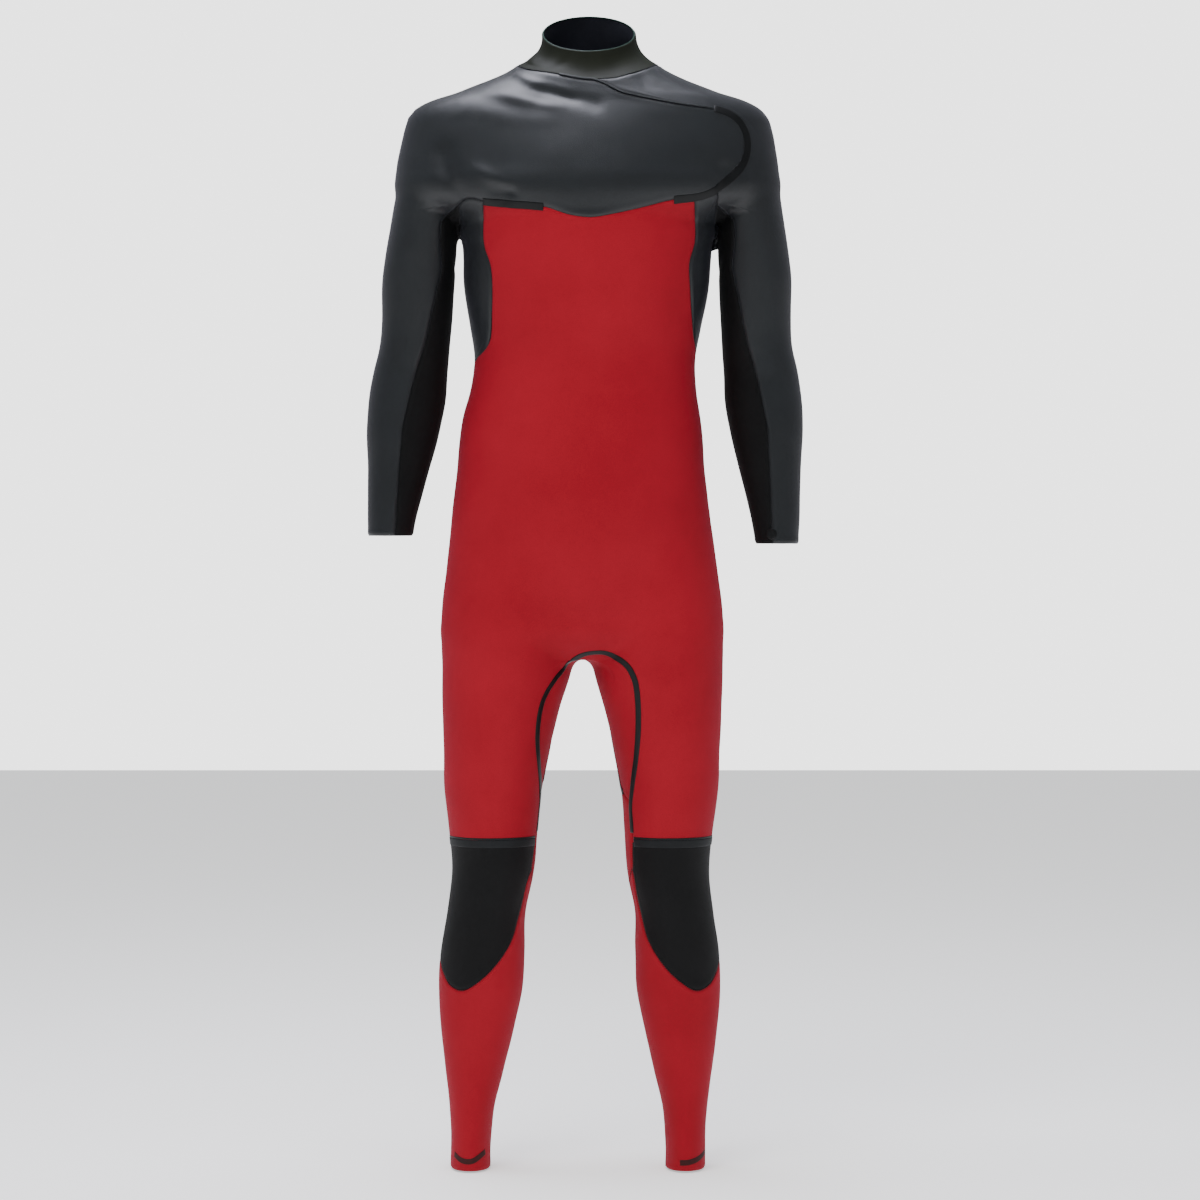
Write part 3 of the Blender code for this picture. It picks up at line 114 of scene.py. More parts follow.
# Seams in mm, in front or back view: x and height.
seenSeams = {
    "flapEdge": [(6, -11), (20, -15), (34, -24), (69, -33), (121, -42), (158, -46), (183, -55), (197, -72),
                 (200, -94), (194, -116), (180, -133), (161, -149)],
    "chestRight": [(-131, -166), (-80, -172), (-54, -175), (-22, -185), (4, -188), (34, -183), (69, -175),
                   (102, -166), (133, -161)],
    "chestLeft": [(133, -161), (148, -157), (161, -149)],
    "pitReachL": [(161, -149), (163, -158), (162, -168)],
    "pitReachR": [(-131, -166), (-145, -162), (-155, -163), (-162, -168)],
    "creaseR": [(-72, 12), (-128, -26), (-170, -66), (-180, -112), (-174, -146), (-162, -168)],
    "creaseL": [(72, 8), (130, -22), (190, -50), (216, -84), (212, -122), (188, -152), (162, -168)],
    "raglan": [(44, 30), (92, -40), (128, -100), (150, -146), (162, -172)],
    "yokeFoot": [(-131, -188), (-70, -196), (0, -200), (70, -196), (131, -188)],
    "yokeCorner": [(131, -188), (148, -174), (162, -172)],
    "sideFrontR": [(-131, -166), (-131, -217), (-122, -248), (-121, -300), (-124, -340), (-137, -362)],
    "sideFrontL": [(133, -161), (135, -213), (128, -240), (129, -276), (132, -318), (131, -352)],
    "sideBack": [(131, -188), (127, -230), (121, -280), (122, -325), (134, -362)],
    "gussetFront": [(-64, -872), (-65, -834), (-60, -800), (-53, -782), (-42, -763), (-24, -742), (-4, -730),
                    (17, -728), (40, -737), (54, -751), (60, -770), (63, -800), (62, -848), (58, -890)],
    "gussetBackTop": [(-66, -770), (-40, -736), (-9, -720), (22, -736), (48, -770)],
    "padFoot": [(67, -1003), (71, -1036), (78, -1067), (86, -1093), (104, -1121), (128, -1144), (149, -1155),
                (165, -1148), (173, -1134), (177, -1118)],
    "centreFront": [(4, -188), (-2, -360), (-8, -560), (-4, -730)],
    "centreBack": [(0, -200), (-4, -360), (-8, -560), (-9, -720)],
}
# Seams round a limb: height in mm, degrees from its outer side (0) by the front (90) to the inner (180).
limbSeams = {
    "sleeveFront": [(-205, 118), (-244, 129), (-295, 117), (-345, 107), (-396, 97), (-447, 90), (-498, 93),
                    (-549, 100), (-600, 107)],
    "sleeveBack": [(-205, 242), (-244, 230), (-295, 238), (-345, 246), (-447, 254), (-549, 252), (-600, 250)],
    "innerLegL": [(-916, 143), (-955, 142), (-1000, 146), (-1022, 172), (-1060, 177), (-1400, 178)],
    "innerLegR": [(-916, 171), (-955, 168), (-980, 161), (-1000, 157), (-1022, 172), (-1060, 177), (-1400, 178)],
    "forkBackL": [(-916, 143), (-911, 158), (-900, 172), (-860, 184), (-820, 198), (-770, 222)],
    "forkBackR": [(-916, 171), (-890, 178), (-868, 183), (-830, 198), (-800, 210), (-770, 224)],
    "side": [(-340, 0), (-1400, 0)],
}
flapCorners = {"shoulder": (188 * mm, -59 * mm), "tape": (158 * mm, -46 * mm)}  # x and height on its edge
seatSeam = {"height": -770 * mm, "turns": (360, 250)}  # round the back of each thigh
# The neck seam: degrees round the neck from the left (0) by the back (90), and its height in mm.
neckSeam = {
    "axis": (2 * mm, 6 * mm),
    "rows": [(-180, 19), (-150, 6), (-130, 0), (-110, -6), (-90, -11), (-65, -8), (-40, 3), (-20, 13), (0, 18),
             (45, 28), (90, 34), (135, 29), (180, 19)],
    "parts": [("neckRight", -165, -86), ("neckFront", -86, -18), ("neckLeft", -18, 52), ("neckBack", 52, 128),
              ("neckRear", 128, 195)],
}


def sectionCurves(table):
    # A section table's heights, values and slopes, lowest row first.
    rows = np.array(sorted(table), dtype=float) * mm
    return rows[:, 0], rows[:, 1:], np.gradient(rows[:, 1:], rows[:, 0], axis=0)


curves = {name: sectionCurves(table) for name, table in suitSections.items()}


def hermite(knots, values, slopes, s):
    # Cubic Hermite curve through values along their first axis, read at s.
    i = np.clip(np.searchsorted(knots, s) - 1, 0, len(knots) - 2)
    column = (-1,) + (1,) * (values.ndim - 1)
    span = (knots[i + 1] - knots[i]).reshape(column)
    t = (s - knots[i]).reshape(column) / span
    rise = span * (slopes[i] * t * (1 - t) ** 2 - slopes[i + 1] * t**2 * (1 - t))
    return values[i] * (1 + 2 * t) * (1 - t) ** 2 + values[i + 1] * t**2 * (3 - 2 * t) + rise


def sectionAt(name, z):
    # A limb's or body's section at heights z: centre x, half width, centre y, front, back.
    knots, values, slopes = curves[name]
    return hermite(knots, values, slopes, np.clip(z, knots[0], knots[-1])).T


def middleAt(middle, z):
    heights, xs = np.array(middle, dtype=float).T * mm
    return np.interp(z, heights, xs)


def sectionGap(name, p, middle=None):
    # How far points are outside a stack of ovals: w (w - 1) / |grad w|, where w is 1 on the oval.
    x, y, z = p.T
    if middle is not None:
        x = np.abs(x - middleAt(middle, z))
    cx, a, cy, front, rear = sectionAt(name, z)
    x, y = x - cx, y - cy
    b = np.where(y < 0, front, rear)
    whole = np.hypot(x / a, y / b)
    slope = np.hypot(x / a**2, y / b**2)
    gap = np.where(whole < 1e-4, -np.minimum(a, b), whole * (whole - 1) / np.maximum(slope, 1e-9))
    knots = curves[name][0]
    return np.maximum(gap, np.maximum(z - knots[-1], knots[0] - z))


def blend(a, b, k):
    # The smaller of two gaps, less h^2 k / 4 where they are within k of each other.
    h = np.maximum(k - np.abs(a - b), 0) / k
    return np.minimum(a, b) - h * h * k / 4


def form(p):
    # The suit's outer form: below 0 inside. Smooth union of yoke, torso, arms and legs, less the main folds.
    body = blend(sectionGap("torso", p), sectionGap("yoke", p), formBlends["yoke"])
    body = blend(body, sectionGap("arm", p, armMiddle), formBlends["arm"])
    body = blend(body, sectionGap("leg", p, legMiddle), formBlends["leg"])
    for x1, z1, x2, z2, deep, wide, side in mainFolds:
        a, b = np.array([x1, z1]) * mm, np.array([x2, z2]) * mm
        q = p[:, [0, 2]]
        t = np.clip((q - a) @ (b - a) / ((b - a) @ (b - a)), 0, 1)
        far = np.linalg.norm(q - a - t[:, None] * (b - a), axis=1)
        facing = 0.5 + 0.5 * np.tanh((-1 if side == "front" else 1) * p[:, 1] / (12 * mm))
        body = body + deep * mm * np.exp(-((far / (wide * mm)) ** 2)) * facing
    return body


def unit(v):
    return v / np.maximum(np.linalg.norm(v, axis=-1), 1e-12)[..., None]


def gradientOf(p, step=0.5 * mm):
    # The form's slope along each axis, by central differences.
    return np.stack([form(p + step * axis) - form(p - step * axis) for axis in np.eye(3)], axis=1) / (2 * step)


def slopeOf(p):
    return unit(gradientOf(p))


def settle(p, rounds=5, longest=20 * mm, flattest=0.2):
    # Points moved onto the form along its slope, by Newton's steps.
    for _ in range(rounds):
        g = gradientOf(p)
        size = np.maximum((g * g).sum(axis=1), flattest)
        p = p - g * (np.clip(form(p), -longest, longest) / size)[:, None]
    return p


def cast(start, way, reach=0.3, stride=6 * mm, halvings=16):
    # Where rays that start inside the form first leave it: strides, then halving.
    near, going = np.zeros(len(start)), np.ones(len(start), dtype=bool)
    for _ in range(int(reach / stride)):
        going &= form(start + way * (near + stride)[:, None]) < 0
        near = near + stride * going
    far = near + stride
    for _ in range(halvings):
        middle = (near + far) / 2
        inside = form(start + way * middle[:, None]) < 0
        near, far = np.where(inside, middle, near), np.where(inside, far, middle)
    return start + way * near[:, None]


def castLift(side):
    # Flat points (x, z) cast along Y: side -1 to the front, 1 to the back.
    return lambda q: cast(np.stack([q[:, 0], np.zeros(len(q)), q[:, 1]], axis=1), np.array([0.0, side, 0.0]))


def along(line):
    return np.r_[0, np.cumsum(np.linalg.norm(np.diff(line, axis=0), axis=1))]


def readAt(s, far, line):
    return np.stack([np.interp(s, far, line[:, k]) for k in range(line.shape[1])], axis=1)


def at(line, s):
    # Points at the shares s of a line's length.
    far = along(line)
    return readAt(np.asarray(s) * far[-1], far, line)


def atHeight(line, z):
    # Points of a line that only goes down, at heights z.
    return readAt(-z, -line[:, 2], line)


def smoothThrough(points, count=200):
    # A smooth curve through points, with knots at the square root of their distance.
    p = np.asarray(points, dtype=float)
    knots = np.r_[0, np.cumsum(np.linalg.norm(np.diff(p, axis=0), axis=1) ** 0.5)]
    return curveThrough(knots, p, np.linspace(0, knots[-1], count))


def curveThrough(knots, values, s):
    return hermite(knots, values, np.gradient(values, knots, axis=0), s)


def spaced(line, step=4 * mm):
    count = max(2, round(along(line)[-1] / step)) + 1
    return settle(at(line, np.linspace(0, 1, count)))


def seenSeam(points, side=-1):
    # A seam in front view (side -1) or back view (side 1), laid on the form.
    return spaced(castLift(side)(smoothThrough(np.array(points) * mm)))


def limbRays(name, middle, hand, z, degrees):
    # Rays from a limb's axis; hand is 1 for the wearer's left and -1 for the right.
    cx, _, cy, _, _ = sectionAt(name, z)
    turn = np.radians(degrees)
    way = np.stack([hand * np.cos(turn), -np.sin(turn), np.zeros(len(z))], axis=1)
    return np.stack([middleAt(middle, z) + hand * cx, cy, z], axis=1), way


def turnAt(rows, z):
    # A limb seam's degrees at heights z.
    heights, turns = np.array(sorted(rows), dtype=float).T
    return np.interp(z, heights * mm, turns)


def limbSeam(limb, rows, top, foot, rays=260):
    z = np.linspace(top, foot, rays)
    return spaced(cast(*limbRays(*limb, z, turnAt(rows, z))))


def limbRing(limb, z, first, last, rays=120):
    return spaced(cast(*limbRays(*limb, np.full(rays, z), np.linspace(first, last, rays))))


def neckLine(first, last, rays=120):
    # The neck seam from one angle to another, the way round that the angles grow.
    degrees = np.linspace(first, last, rays)
    rows, flat, turn = np.array(neckSeam["rows"], dtype=float), np.zeros(rays), np.radians(degrees)
    z = np.interp((degrees + 180) % 360 - 180, rows[:, 0], rows[:, 1] * mm)
    start = np.stack([flat + neckSeam["axis"][0], flat + neckSeam["axis"][1], z], axis=1)
    return spaced(cast(start, np.stack([np.cos(turn), np.sin(turn), flat], axis=1)), 3 * mm)


def pinned(line, start=None, end=None, soft=12 * mm):
    # A line whose ends are drawn onto corners, fading exp(-s / soft) along it.
    far = along(line)
    moved = line.copy()
    if start is not None:
        moved += (start - line[0]) * np.exp(-far / soft)[:, None]
        moved[0] = start
    if end is not None:
        moved += (end - line[-1]) * np.exp(-(far[-1] - far) / soft)[:, None]
        moved[-1] = end
    return moved


def armpitSeam(front, rear, rays=80, under=-120 * mm, reach=0.12):
    # Under the arm: straight down from between torso and sleeve to the form.
    share = np.linspace(0, 1, rays)[:, None]
    straight = front + (rear - front) * share
    start = np.column_stack([straight[:, :2], np.full(rays, under)])
    line = cast(start, np.array([0.0, 0.0, -1.0]), reach)
    mix = np.clip(np.minimum(share, 1 - share) / 0.05, 0, 1)
    return spaced(settle(line * mix + straight * (1 - mix)))


def ledFrom(corner, line, side):
    # A sleeve seam led to from the armpit's corner, in front or back view.
    first, last = corner[[0, 2]] / mm, line[0][[0, 2]] / mm
    middle = [last[0] * 0.85 + first[0] * 0.15, last[1] * 0.4 + first[1] * 0.6]
    lead = seenSeam([first, middle, last], side)
    return spaced(np.vstack([corner[None], lead[1:-1], line]))


def nearTo(line, x, z):
    # The number of a line's point that is nearest to x and z in front view.
    return int(np.argmin(np.hypot(line[:, 0] - x, line[:, 2] - z)))


def rev(line):
    return line[::-1]


def join(*lines):
    # Lines end to end, with each shared point once.
    return np.vstack([lines[0]] + [line[1:] for line in lines[1:]])


def parted(line, p):
    # A line cut at its point nearest to p: the part before and the part after.
    k = int(np.argmin(np.linalg.norm(line - p, axis=1)))
    return line[: k + 1], line[k:]


def makeSeams():
    # Every seam and open edge by name, as points on the form; L and R are the wearer's sides.
    s = {name: seenSeam(seenSeams[name]) for name in ("flapEdge", "chestRight", "chestLeft", "gussetFront")}
    s.update({name: neckLine(first, last) for name, first, last in neckSeam["parts"]})
    s["flapEdge"] = pinned(s["flapEdge"], s["neckFront"][0])
    s["chestLeft"] = pinned(s["chestLeft"], s["chestRight"][-1], s["flapEdge"][-1])
    s["yokeFoot"] = seenSeam(seenSeams["yokeFoot"], 1)
    starts = {"L": (s["neckLeft"], s["flapEdge"][-1]), "R": (s["neckRight"], s["chestRight"][0])}
    for hand, side, end in ((1, "L", -1), (-1, "R", 0)):
        arm, leg = ("arm", armMiddle, hand), ("leg", legMiddle, hand)
        raglan, corner, sideBack = (seenSeam(np.array(seenSeams[name]) * [hand, 1], 1)
                                    for name in ("raglan", "yokeCorner", "sideBack"))
        neck, reachStart = starts[side]
        s["pit" + side] = pinned(seenSeam(seenSeams["pitReach" + side]), reachStart)
        pit = s["pit" + side][-1]
        s["crease" + side] = pinned(seenSeam(seenSeams["crease" + side]), neck[0], pit)
        s["raglan" + side] = pinned(raglan, s["neckBack"][-1 - end])
        s["corner" + side] = pinned(corner, s["yokeFoot"][end], raglan[-1])
        s["pitLine" + side] = armpitSeam(pit, raglan[-1])
        ends, turns = [], []
        for name, start, face in (("sleeveFront", pit, -1), ("sleeveBack", raglan[-1], 1)):
            rows = limbSeams[name]
            line = limbSeam(arm, rows, rows[0][0] * mm, cuffZ[side])
            s[name + side] = ledFrom(start, line, face)
            ends.append(line[-1])
            turns.append(turnAt(rows, cuffZ[side]))
        for name, last in (("cuffOuter", turns[1] - 360), ("cuffInner", turns[1])):
            s[name + side] = pinned(limbRing(arm, cuffZ[side], turns[0], last), *ends)
        sideFront = seenSeam(seenSeams["sideFront" + side])
        foot = seenSeam([(middleAt(legMiddle, z * mm) / mm + hand * x, z) for x, z in seenSeams["padFoot"]])
        outFoot, inFoot, inner = foot[-1][2], foot[0][2], "innerLeg" + side
        for name, rows, top, low in (
                ("sideUpper", "side", sideFront[-1][2], padTopZ), ("sidePad", "side", padTopZ, outFoot),
                ("sideShin", "side", outFoot, ankleZ), ("innerUpper", inner, forkZ, padTopZ),
                ("innerPad", inner, padTopZ, inFoot), ("innerShin", inner, inFoot, ankleZ),
                ("forkBack", "forkBack" + side, forkZ, seatSeam["height"])):
            s[name + side] = limbSeam(leg, limbSeams[rows], top, low)
        upper = s["sideUpper" + side]
        s["sideFront" + side] = pinned(sideFront, s["chestRight"][end], upper[0])
        s["sideBack" + side] = pinned(sideBack, s["corner" + side][0], upper[0])
        s["padFoot" + side] = pinned(foot, s["innerPad" + side][-1], s["sidePad" + side][-1])
        ring = limbRing(leg, padTopZ, 0, turnAt(limbSeams[inner], padTopZ))
        s["padTop" + side] = pinned(ring, upper[-1], s["innerUpper" + side][-1])
        for name, first in (("ankleFront", 0), ("ankleBack", 360)):
            ring = limbRing(leg, ankleZ, first, limbSeams[inner][-1][1])
            s[name + side] = pinned(ring, s["sideShin" + side][-1], s["innerShin" + side][-1])
    forks = s["innerUpperR"][0], s["innerUpperL"][0]
    s["gussetFront"] = pinned(s["gussetFront"], *forks, 20 * mm)
    top = seenSeam(seenSeams["gussetBackTop"], 1)
    line = np.vstack([s["forkBackR"][:-3], top[3:-3], rev(s["forkBackL"][:-3])])
    s["gussetBack"] = pinned(spaced(smoothThrough(line[::3], 400)), *forks)
    for hand, side, end in ((1, "L", -1), (-1, "R", 0)):
        seat = limbRing(("leg", legMiddle, hand), seatSeam["height"], *seatSeam["turns"])
        ends = [parted(line, p)[1][0] for line, p in ((s["sideUpper" + side], seat[0]), (s["gussetBack"], top[end]))]
        s["seat" + side] = pinned(seat, *ends, 20 * mm)
    s["centreFront"] = seenSeam(seenSeams["centreFront"])
    s["centreBack"] = seenSeam(seenSeams["centreBack"], 1)
    return s


seams = makeSeams()
print("seams:", len(seams))


def frontView(p):
    return p[:, [0, 2]]


def sideView(p):
    return p[:, [1, 2]]


# How far a ray runs. One under the arm that hasn't left by its reach has run on past the armpit.
castReach = {"torso": 0.172, "underArm": 0.054, "sleeve": 0.3}


def sideLift(hand):
    way = np.array([float(hand), 0.0, 0.0])
    return lambda q: cast(np.stack([np.zeros(len(q)), q[:, 0], q[:, 1]], axis=1), way, castReach["torso"])


axisTurn = {"radius": 60 * mm, "torsoFoot": -600 * mm, "legTop": -760 * mm}


def axisView(hand, face):
    # Angle and height round an upright axis that runs from the torso's middle into one leg's middle.
    def axis(z):
        t = np.clip((axisTurn["torsoFoot"] - z) / (axisTurn["torsoFoot"] - axisTurn["legTop"]), 0, 1)
        share = t * t * (3 - 2 * t)
        tx, _, ty, _, _ = sectionAt("torso", z)
        lx, _, ly, _, _ = sectionAt("leg", z)
        x = (1 - share) * tx + share * (middleAt(legMiddle, z) + hand * lx)
        return x, (1 - share) * ty + share * ly

    def view(p):
        x, y = axis(p[:, 2])
        turn = np.arctan2(face * (p[:, 1] - y), hand * (p[:, 0] - x))
        turn = (turn + math.pi / 2) % (2 * math.pi) - math.pi / 2
        return np.stack([turn * axisTurn["radius"], p[:, 2]], axis=1)

    def lift(q):
        turn, z = q[:, 0] / axisTurn["radius"], q[:, 1]
        x, y = axis(z)
        way = np.stack([hand * np.cos(turn), face * np.sin(turn), np.zeros(len(q))], axis=1)
        return cast(np.stack([x, y, z], axis=1), way)

    return view, lift


# The line from the neck over the shoulder and down the middle of the left sleeve, in mm.
sleeveLine = {
    "points": [(10, 8, -50), (110, 8, -54), (170, 7, -70), (200, 6, -112), (209, 5, -190), (218, 3, -345),
               (226, -1, -409), (235, -16, -498), (246, -35, -620)],
    "radius": 45 * mm,
}


def sleeveView(hand, turned):
    # Angle round the sleeve's line and distance along it, from its outer side, or the inner one if turned.
    line = smoothThrough(np.array(sleeveLine["points"]) * mm, 160)
    tangent = unit(np.gradient(line, axis=0))
    outward = unit(np.stack([-tangent[:, 2], np.zeros(len(line)), tangent[:, 0]], axis=1))
    front, mirror = np.cross(tangent, outward), np.array([hand, 1.0, 1.0])
    line, tangent, outward, front = line * mirror, tangent * mirror, outward * mirror, front * mirror
    line[:, 0] += middleAt(armMiddle, line[:, 2])
    far, turn, radius = along(line), math.pi if turned else 0, sleeveLine["radius"]

    def view(p):
        i = np.argmin(np.linalg.norm(p[:, None] - line[None], axis=2), axis=1)
        off = p - line[i]
        angle = np.arctan2((off * front[i]).sum(axis=1), (off * outward[i]).sum(axis=1))
        angle = (angle - turn + math.pi) % (2 * math.pi) - math.pi
        return np.stack([angle * radius, -(far[i] + (off * tangent[i]).sum(axis=1))], axis=1)

    def lift(q):
        angle = (q[:, 0] / radius + turn)[:, None]
        start, out, ahead = (readAt(-q[:, 1], far, v) for v in (line, outward, front))
        way = unit(out * np.cos(angle) + ahead * np.sin(angle))
        return cast(start, way, castReach["underArm" if turned else "sleeve"])

    return view, lift


gridSpacing = {"edge": np.array([0, 0.5, 1.1, 1.9, 3.0, 4.6, 7.0]) * mm, "plain": 4.6 * mm, "coarse": 17 * mm}


def graded(long, start=True):
    # Shares along a side of this length: close together near a seam, then evenly apart.
    edge = gridSpacing["edge"] / long
    first, last = edge if start else edge[:1], 1 - edge[::-1]
    count = max(2, round(long * (last[0] - first[-1]) / gridSpacing["plain"]))
    return np.r_[first[:-1], np.linspace(first[-1], last[0], count + 1), last[1:]]


def coons(top, foot, left, right, u, v):
    # Coons patch: rows from left to right, plus columns from top to foot, less the four corners' blend.
    u, v = u[None, :, None], v[:, None, None]
    across = (1 - u) * left[:, None] + u * right[:, None]
    down = (1 - v) * top[None] + v * foot[None]
    return across + down - (1 - v) * ((1 - u) * top[0] + u * top[-1]) - v * ((1 - u) * foot[0] + u * foot[-1])


def coarseOf(shares, long):
    count = max(3, round(long / gridSpacing["coarse"]))
    return np.unique(np.abs(shares[:, None] - np.linspace(0, 1, count + 1)[None]).argmin(axis=0))


def patch(top, foot, left, right, u, v, view, lift):
    # A grid on the form between four sides: a coarse Coons patch in a flat view is cast onto the form,
    # made finer by cubic curves, drawn onto the exact sides by a Coons patch of what is left, and settled.
    cols = coarseOf(u, max(along(top)[-1], along(foot)[-1]))
    rows = coarseOf(v, max(along(left)[-1], along(right)[-1]))
    flat = coons(view(top[cols]), view(foot[cols]), view(left[rows]), view(right[rows]), u[cols], v[rows])
    coarse = lift(flat.reshape(-1, flat.shape[-1])).reshape(len(rows), len(cols), 3)
    coarse[0], coarse[-1], coarse[:, 0], coarse[:, -1] = top[cols], foot[cols], left[rows], right[rows]
    fine = curveThrough(v[rows], coarse, v)
    fine = curveThrough(u[cols], fine.transpose(1, 0, 2), u).transpose(1, 0, 2)
    fine = fine + coons(top - fine[0], foot - fine[-1], left - fine[:, 0], right - fine[:, -1], u, v)
    inner = fine[1:-1, 1:-1]
    fine[1:-1, 1:-1] = settle(inner.reshape(-1, 3), 3).reshape(inner.shape)
    return fine


# Creases pressed into what shows: where, the points of each, depth (below 0 a ridge), half width.
# front and back: x and height in mm. armL, armR, legL, legR: height in mm and degrees from the outer side.
creases = [
    ("front", [(-97, 5), (-70, -13), (-37, -22), (-16, -29)], -2.4, 6),
    ("front", [(-74, -22), (-42, -29), (-10, -40)], 2.2, 6),
    ("front", [(-118, -26), (-81, -38), (-52, -45), (-24, -48)], -1.9, 7),
    ("front", [(-152, -22), (-112, -40), (-84, -52)], 1.1, 9),
    ("front", [(-168, -42), (-124, -56), (-82, -64), (-34, -63)], -0.9, 11),
    ("front", [(60, 2), (70, -12), (88, -24)], 1.3, 8),
    ("front", [(96, -10), (130, -24), (160, -34)], -0.7, 10),
    ("front", [(-116, -150), (-101, -155), (-86, -157)], 4.6, 6),
    ("front", [(-148, -118), (-124, -135), (-97, -149)], -2.2, 8),
    ("front", [(-176, -122), (-168, -144), (-158, -162)], 1.6, 7),
    ("front", [(150, -138), (157, -152), (160, -166)], -1.4, 6),
    ("front", [(176, -126), (170, -146), (164, -164)], 1.8, 7),
    ("front", [(14, -738), (23, -750), (30, -766)], 1.4, 6),
    ("front", [(-36, -756), (-48, -780), (-56, -812)], 0.9, 9),
    ("front", [(-118, -330), (-84, -344), (-56, -346)], 0.9, 12),
    ("front", [(112, -342), (86, -352), (52, -350)], 0.7, 13),
    ("back", [(-122, -18), (-84, -42), (-40, -52)], -1.5, 9),
    ("back", [(-104, -44), (-70, -62), (-38, -68)], 1.2, 10),
    ("back", [(114, -22), (76, -40), (30, -58)], -1.3, 9),
    ("back", [(-152, -118), (-135, -150), (-121, -178)], 1.6, 9),
    ("back", [(155, -114), (137, -147), (123, -182)], 1.4, 9),
    ("back", [(-66, -352), (-20, -362), (34, -356)], 1.5, 12),
    ("back", [(-34, -388), (22, -398), (76, -384)], 1.2, 10),
    ("back", [(-92, -410), (-58, -420), (-24, -418)], 0.8, 9),
    ("back", [(-58, -690), (-82, -716), (-98, -752)], 1.7, 10),
    ("back", [(50, -694), (76, -722), (97, -762)], 1.5, 11),
    ("armR", [(-214, 140), (-236, 172), (-247, 206)], 1.4, 8),
    ("armL", [(-218, 138), (-241, 170), (-251, 210)], 1.3, 8),
    ("armR", [(-366, 62), (-374, 92), (-370, 126)], 0.8, 8),
    ("armR", [(-396, 80), (-399, 108)], 0.5, 7),
    ("armL", [(-378, 58), (-385, 94), (-379, 128)], 0.7, 8),
    ("armL", [(-352, 84), (-355, 112)], 0.5, 7),
    ("armR", [(-388, 250), (-394, 276), (-388, 304)], 0.9, 9),
    ("armL", [(-394, 246), (-399, 272), (-395, 296)], 0.9, 9),
    ("armL", [(-548, 190), (-556, 226), (-553, 262)], 0.6, 7),
    ("legR", [(-1038, 232), (-1046, 268), (-1040, 306)], 1.7, 10),
    ("legR", [(-1068, 244), (-1073, 270), (-1067, 294)], 1.1, 8),
    ("legR", [(-1008, 252), (-1013, 282)], 0.8, 9),
    ("legL", [(-1036, 238), (-1044, 270), (-1037, 302)], 1.5, 10),
    ("legL", [(-1070, 252), (-1075, 286)], 1.0, 8),
    ("legR", [(-764, 118), (-792, 140), (-830, 150)], 0.9, 10),
    ("legL", [(-770, 120), (-800, 142), (-842, 152)], 0.8, 10),
    ("legR", [(-1292, 226), (-1299, 262), (-1294, 290)], 0.7, 7),
    ("legL", [(-1300, 250), (-1306, 284), (-1301, 310)], 0.7, 7),
]


def creaseLine(place, points):
    # A crease's line on the form, from its own view.
    points = np.array(points, dtype=float)
    p = smoothThrough(points, 14) if len(points) > 2 else np.linspace(*points, 10)
    if place in ("front", "back"):
        return castLift(-1 if place == "front" else 1)(p * mm)
    limb = ("arm", armMiddle) if place[:3] == "arm" else ("leg", legMiddle)
    return cast(*limbRays(*limb, 1 if place[3] == "L" else -1, p[:, 0] * mm, p[:, 1]))


creaseLines = [creaseLine(place, points) for place, points, _, _ in creases]


def pressed(p):
    # How far every crease moves the skin inwards: depth exp(-(d / width)^2), fading to the crease's ends.
    total = np.zeros(len(p))
    for k, (line, (_, _, deep, wide)) in enumerate(zip(creaseLines, creases)):
        reach = 2.6 * wide * mm
        near = np.flatnonzero(((p > line.min(axis=0) - reach) & (p < line.max(axis=0) + reach)).all(axis=1))
        if not len(near):
            continue
        q, best, share = p[near], np.full(len(near), 1e9), np.zeros(len(near))
        far = along(line)
        for a, b, s in zip(line[:-1], line[1:], far):
            t = np.clip((q - a) @ (b - a) / ((b - a) @ (b - a)), 0, 1)
            d = np.linalg.norm(q - a - t[:, None] * (b - a), axis=1)
            closer = d < best
            best = np.where(closer, d, best)
            share = np.where(closer, (s + t * np.linalg.norm(b - a)) / far[-1], share)
        uneven = 0.8 + 0.2 * np.sin(7 * share + 2.3 * k)
        fade = np.sin(math.pi * np.clip(share, 0, 1)) ** 0.6
        total[near] += deep * mm * np.exp(-((best / (wide * mm)) ** 2)) * fade * uneven
    return total


def undulation(p):
    # A faint unevenness of foam cloth: three crossed sine waves, 60 to 110 mm long.
    x, y, z = p.T / mm
    wave = np.sin(x / 17 + 0.7 * np.sin(z / 23)) * np.sin(z / 13 + y / 19) + 0.6 * np.sin(z / 9.5 + x / 31 + 1.3)
    return 0.16 * mm * wave


seamShape = {"groove": 1.15 * mm, "grooveWide": 1.7 * mm, "swell": 0.32 * mm, "swellAt": 5.2 * mm,
             "swellWide": 2.6 * mm}


def seamRelief(d):
    # A sewn edge rolls in by the groove and swells a little beside it.
    c = seamShape
    dip = c["groove"] * np.exp(-((d / c["grooveWide"]) ** 2))
    return c["swell"] * np.exp(-(((d - c["swellAt"]) / c["swellWide"]) ** 2)) - dip


def nearest(p, line, chunk=1500):
    # The distance from points to a line's points.
    fine = at(line, np.linspace(0, 1, max(2, int(along(line)[-1] / (0.8 * mm)))))
    parts = np.array_split(p, max(1, len(p) // chunk))
    return np.concatenate([np.sqrt(((q[:, None] - fine[None]) ** 2).sum(axis=2).min(axis=1)) for q in parts])


def quadsOf(index):
    return np.stack([index[:-1, :-1], index[1:, :-1], index[1:, 1:], index[:-1, 1:]], axis=-1).reshape(-1, 4)


def facingOf(points, quads):
    # The directions that quads face, as long as twice their areas.
    return np.cross(points[quads[:, 2]] - points[quads[:, 0]], points[quads[:, 3]] - points[quads[:, 1]])


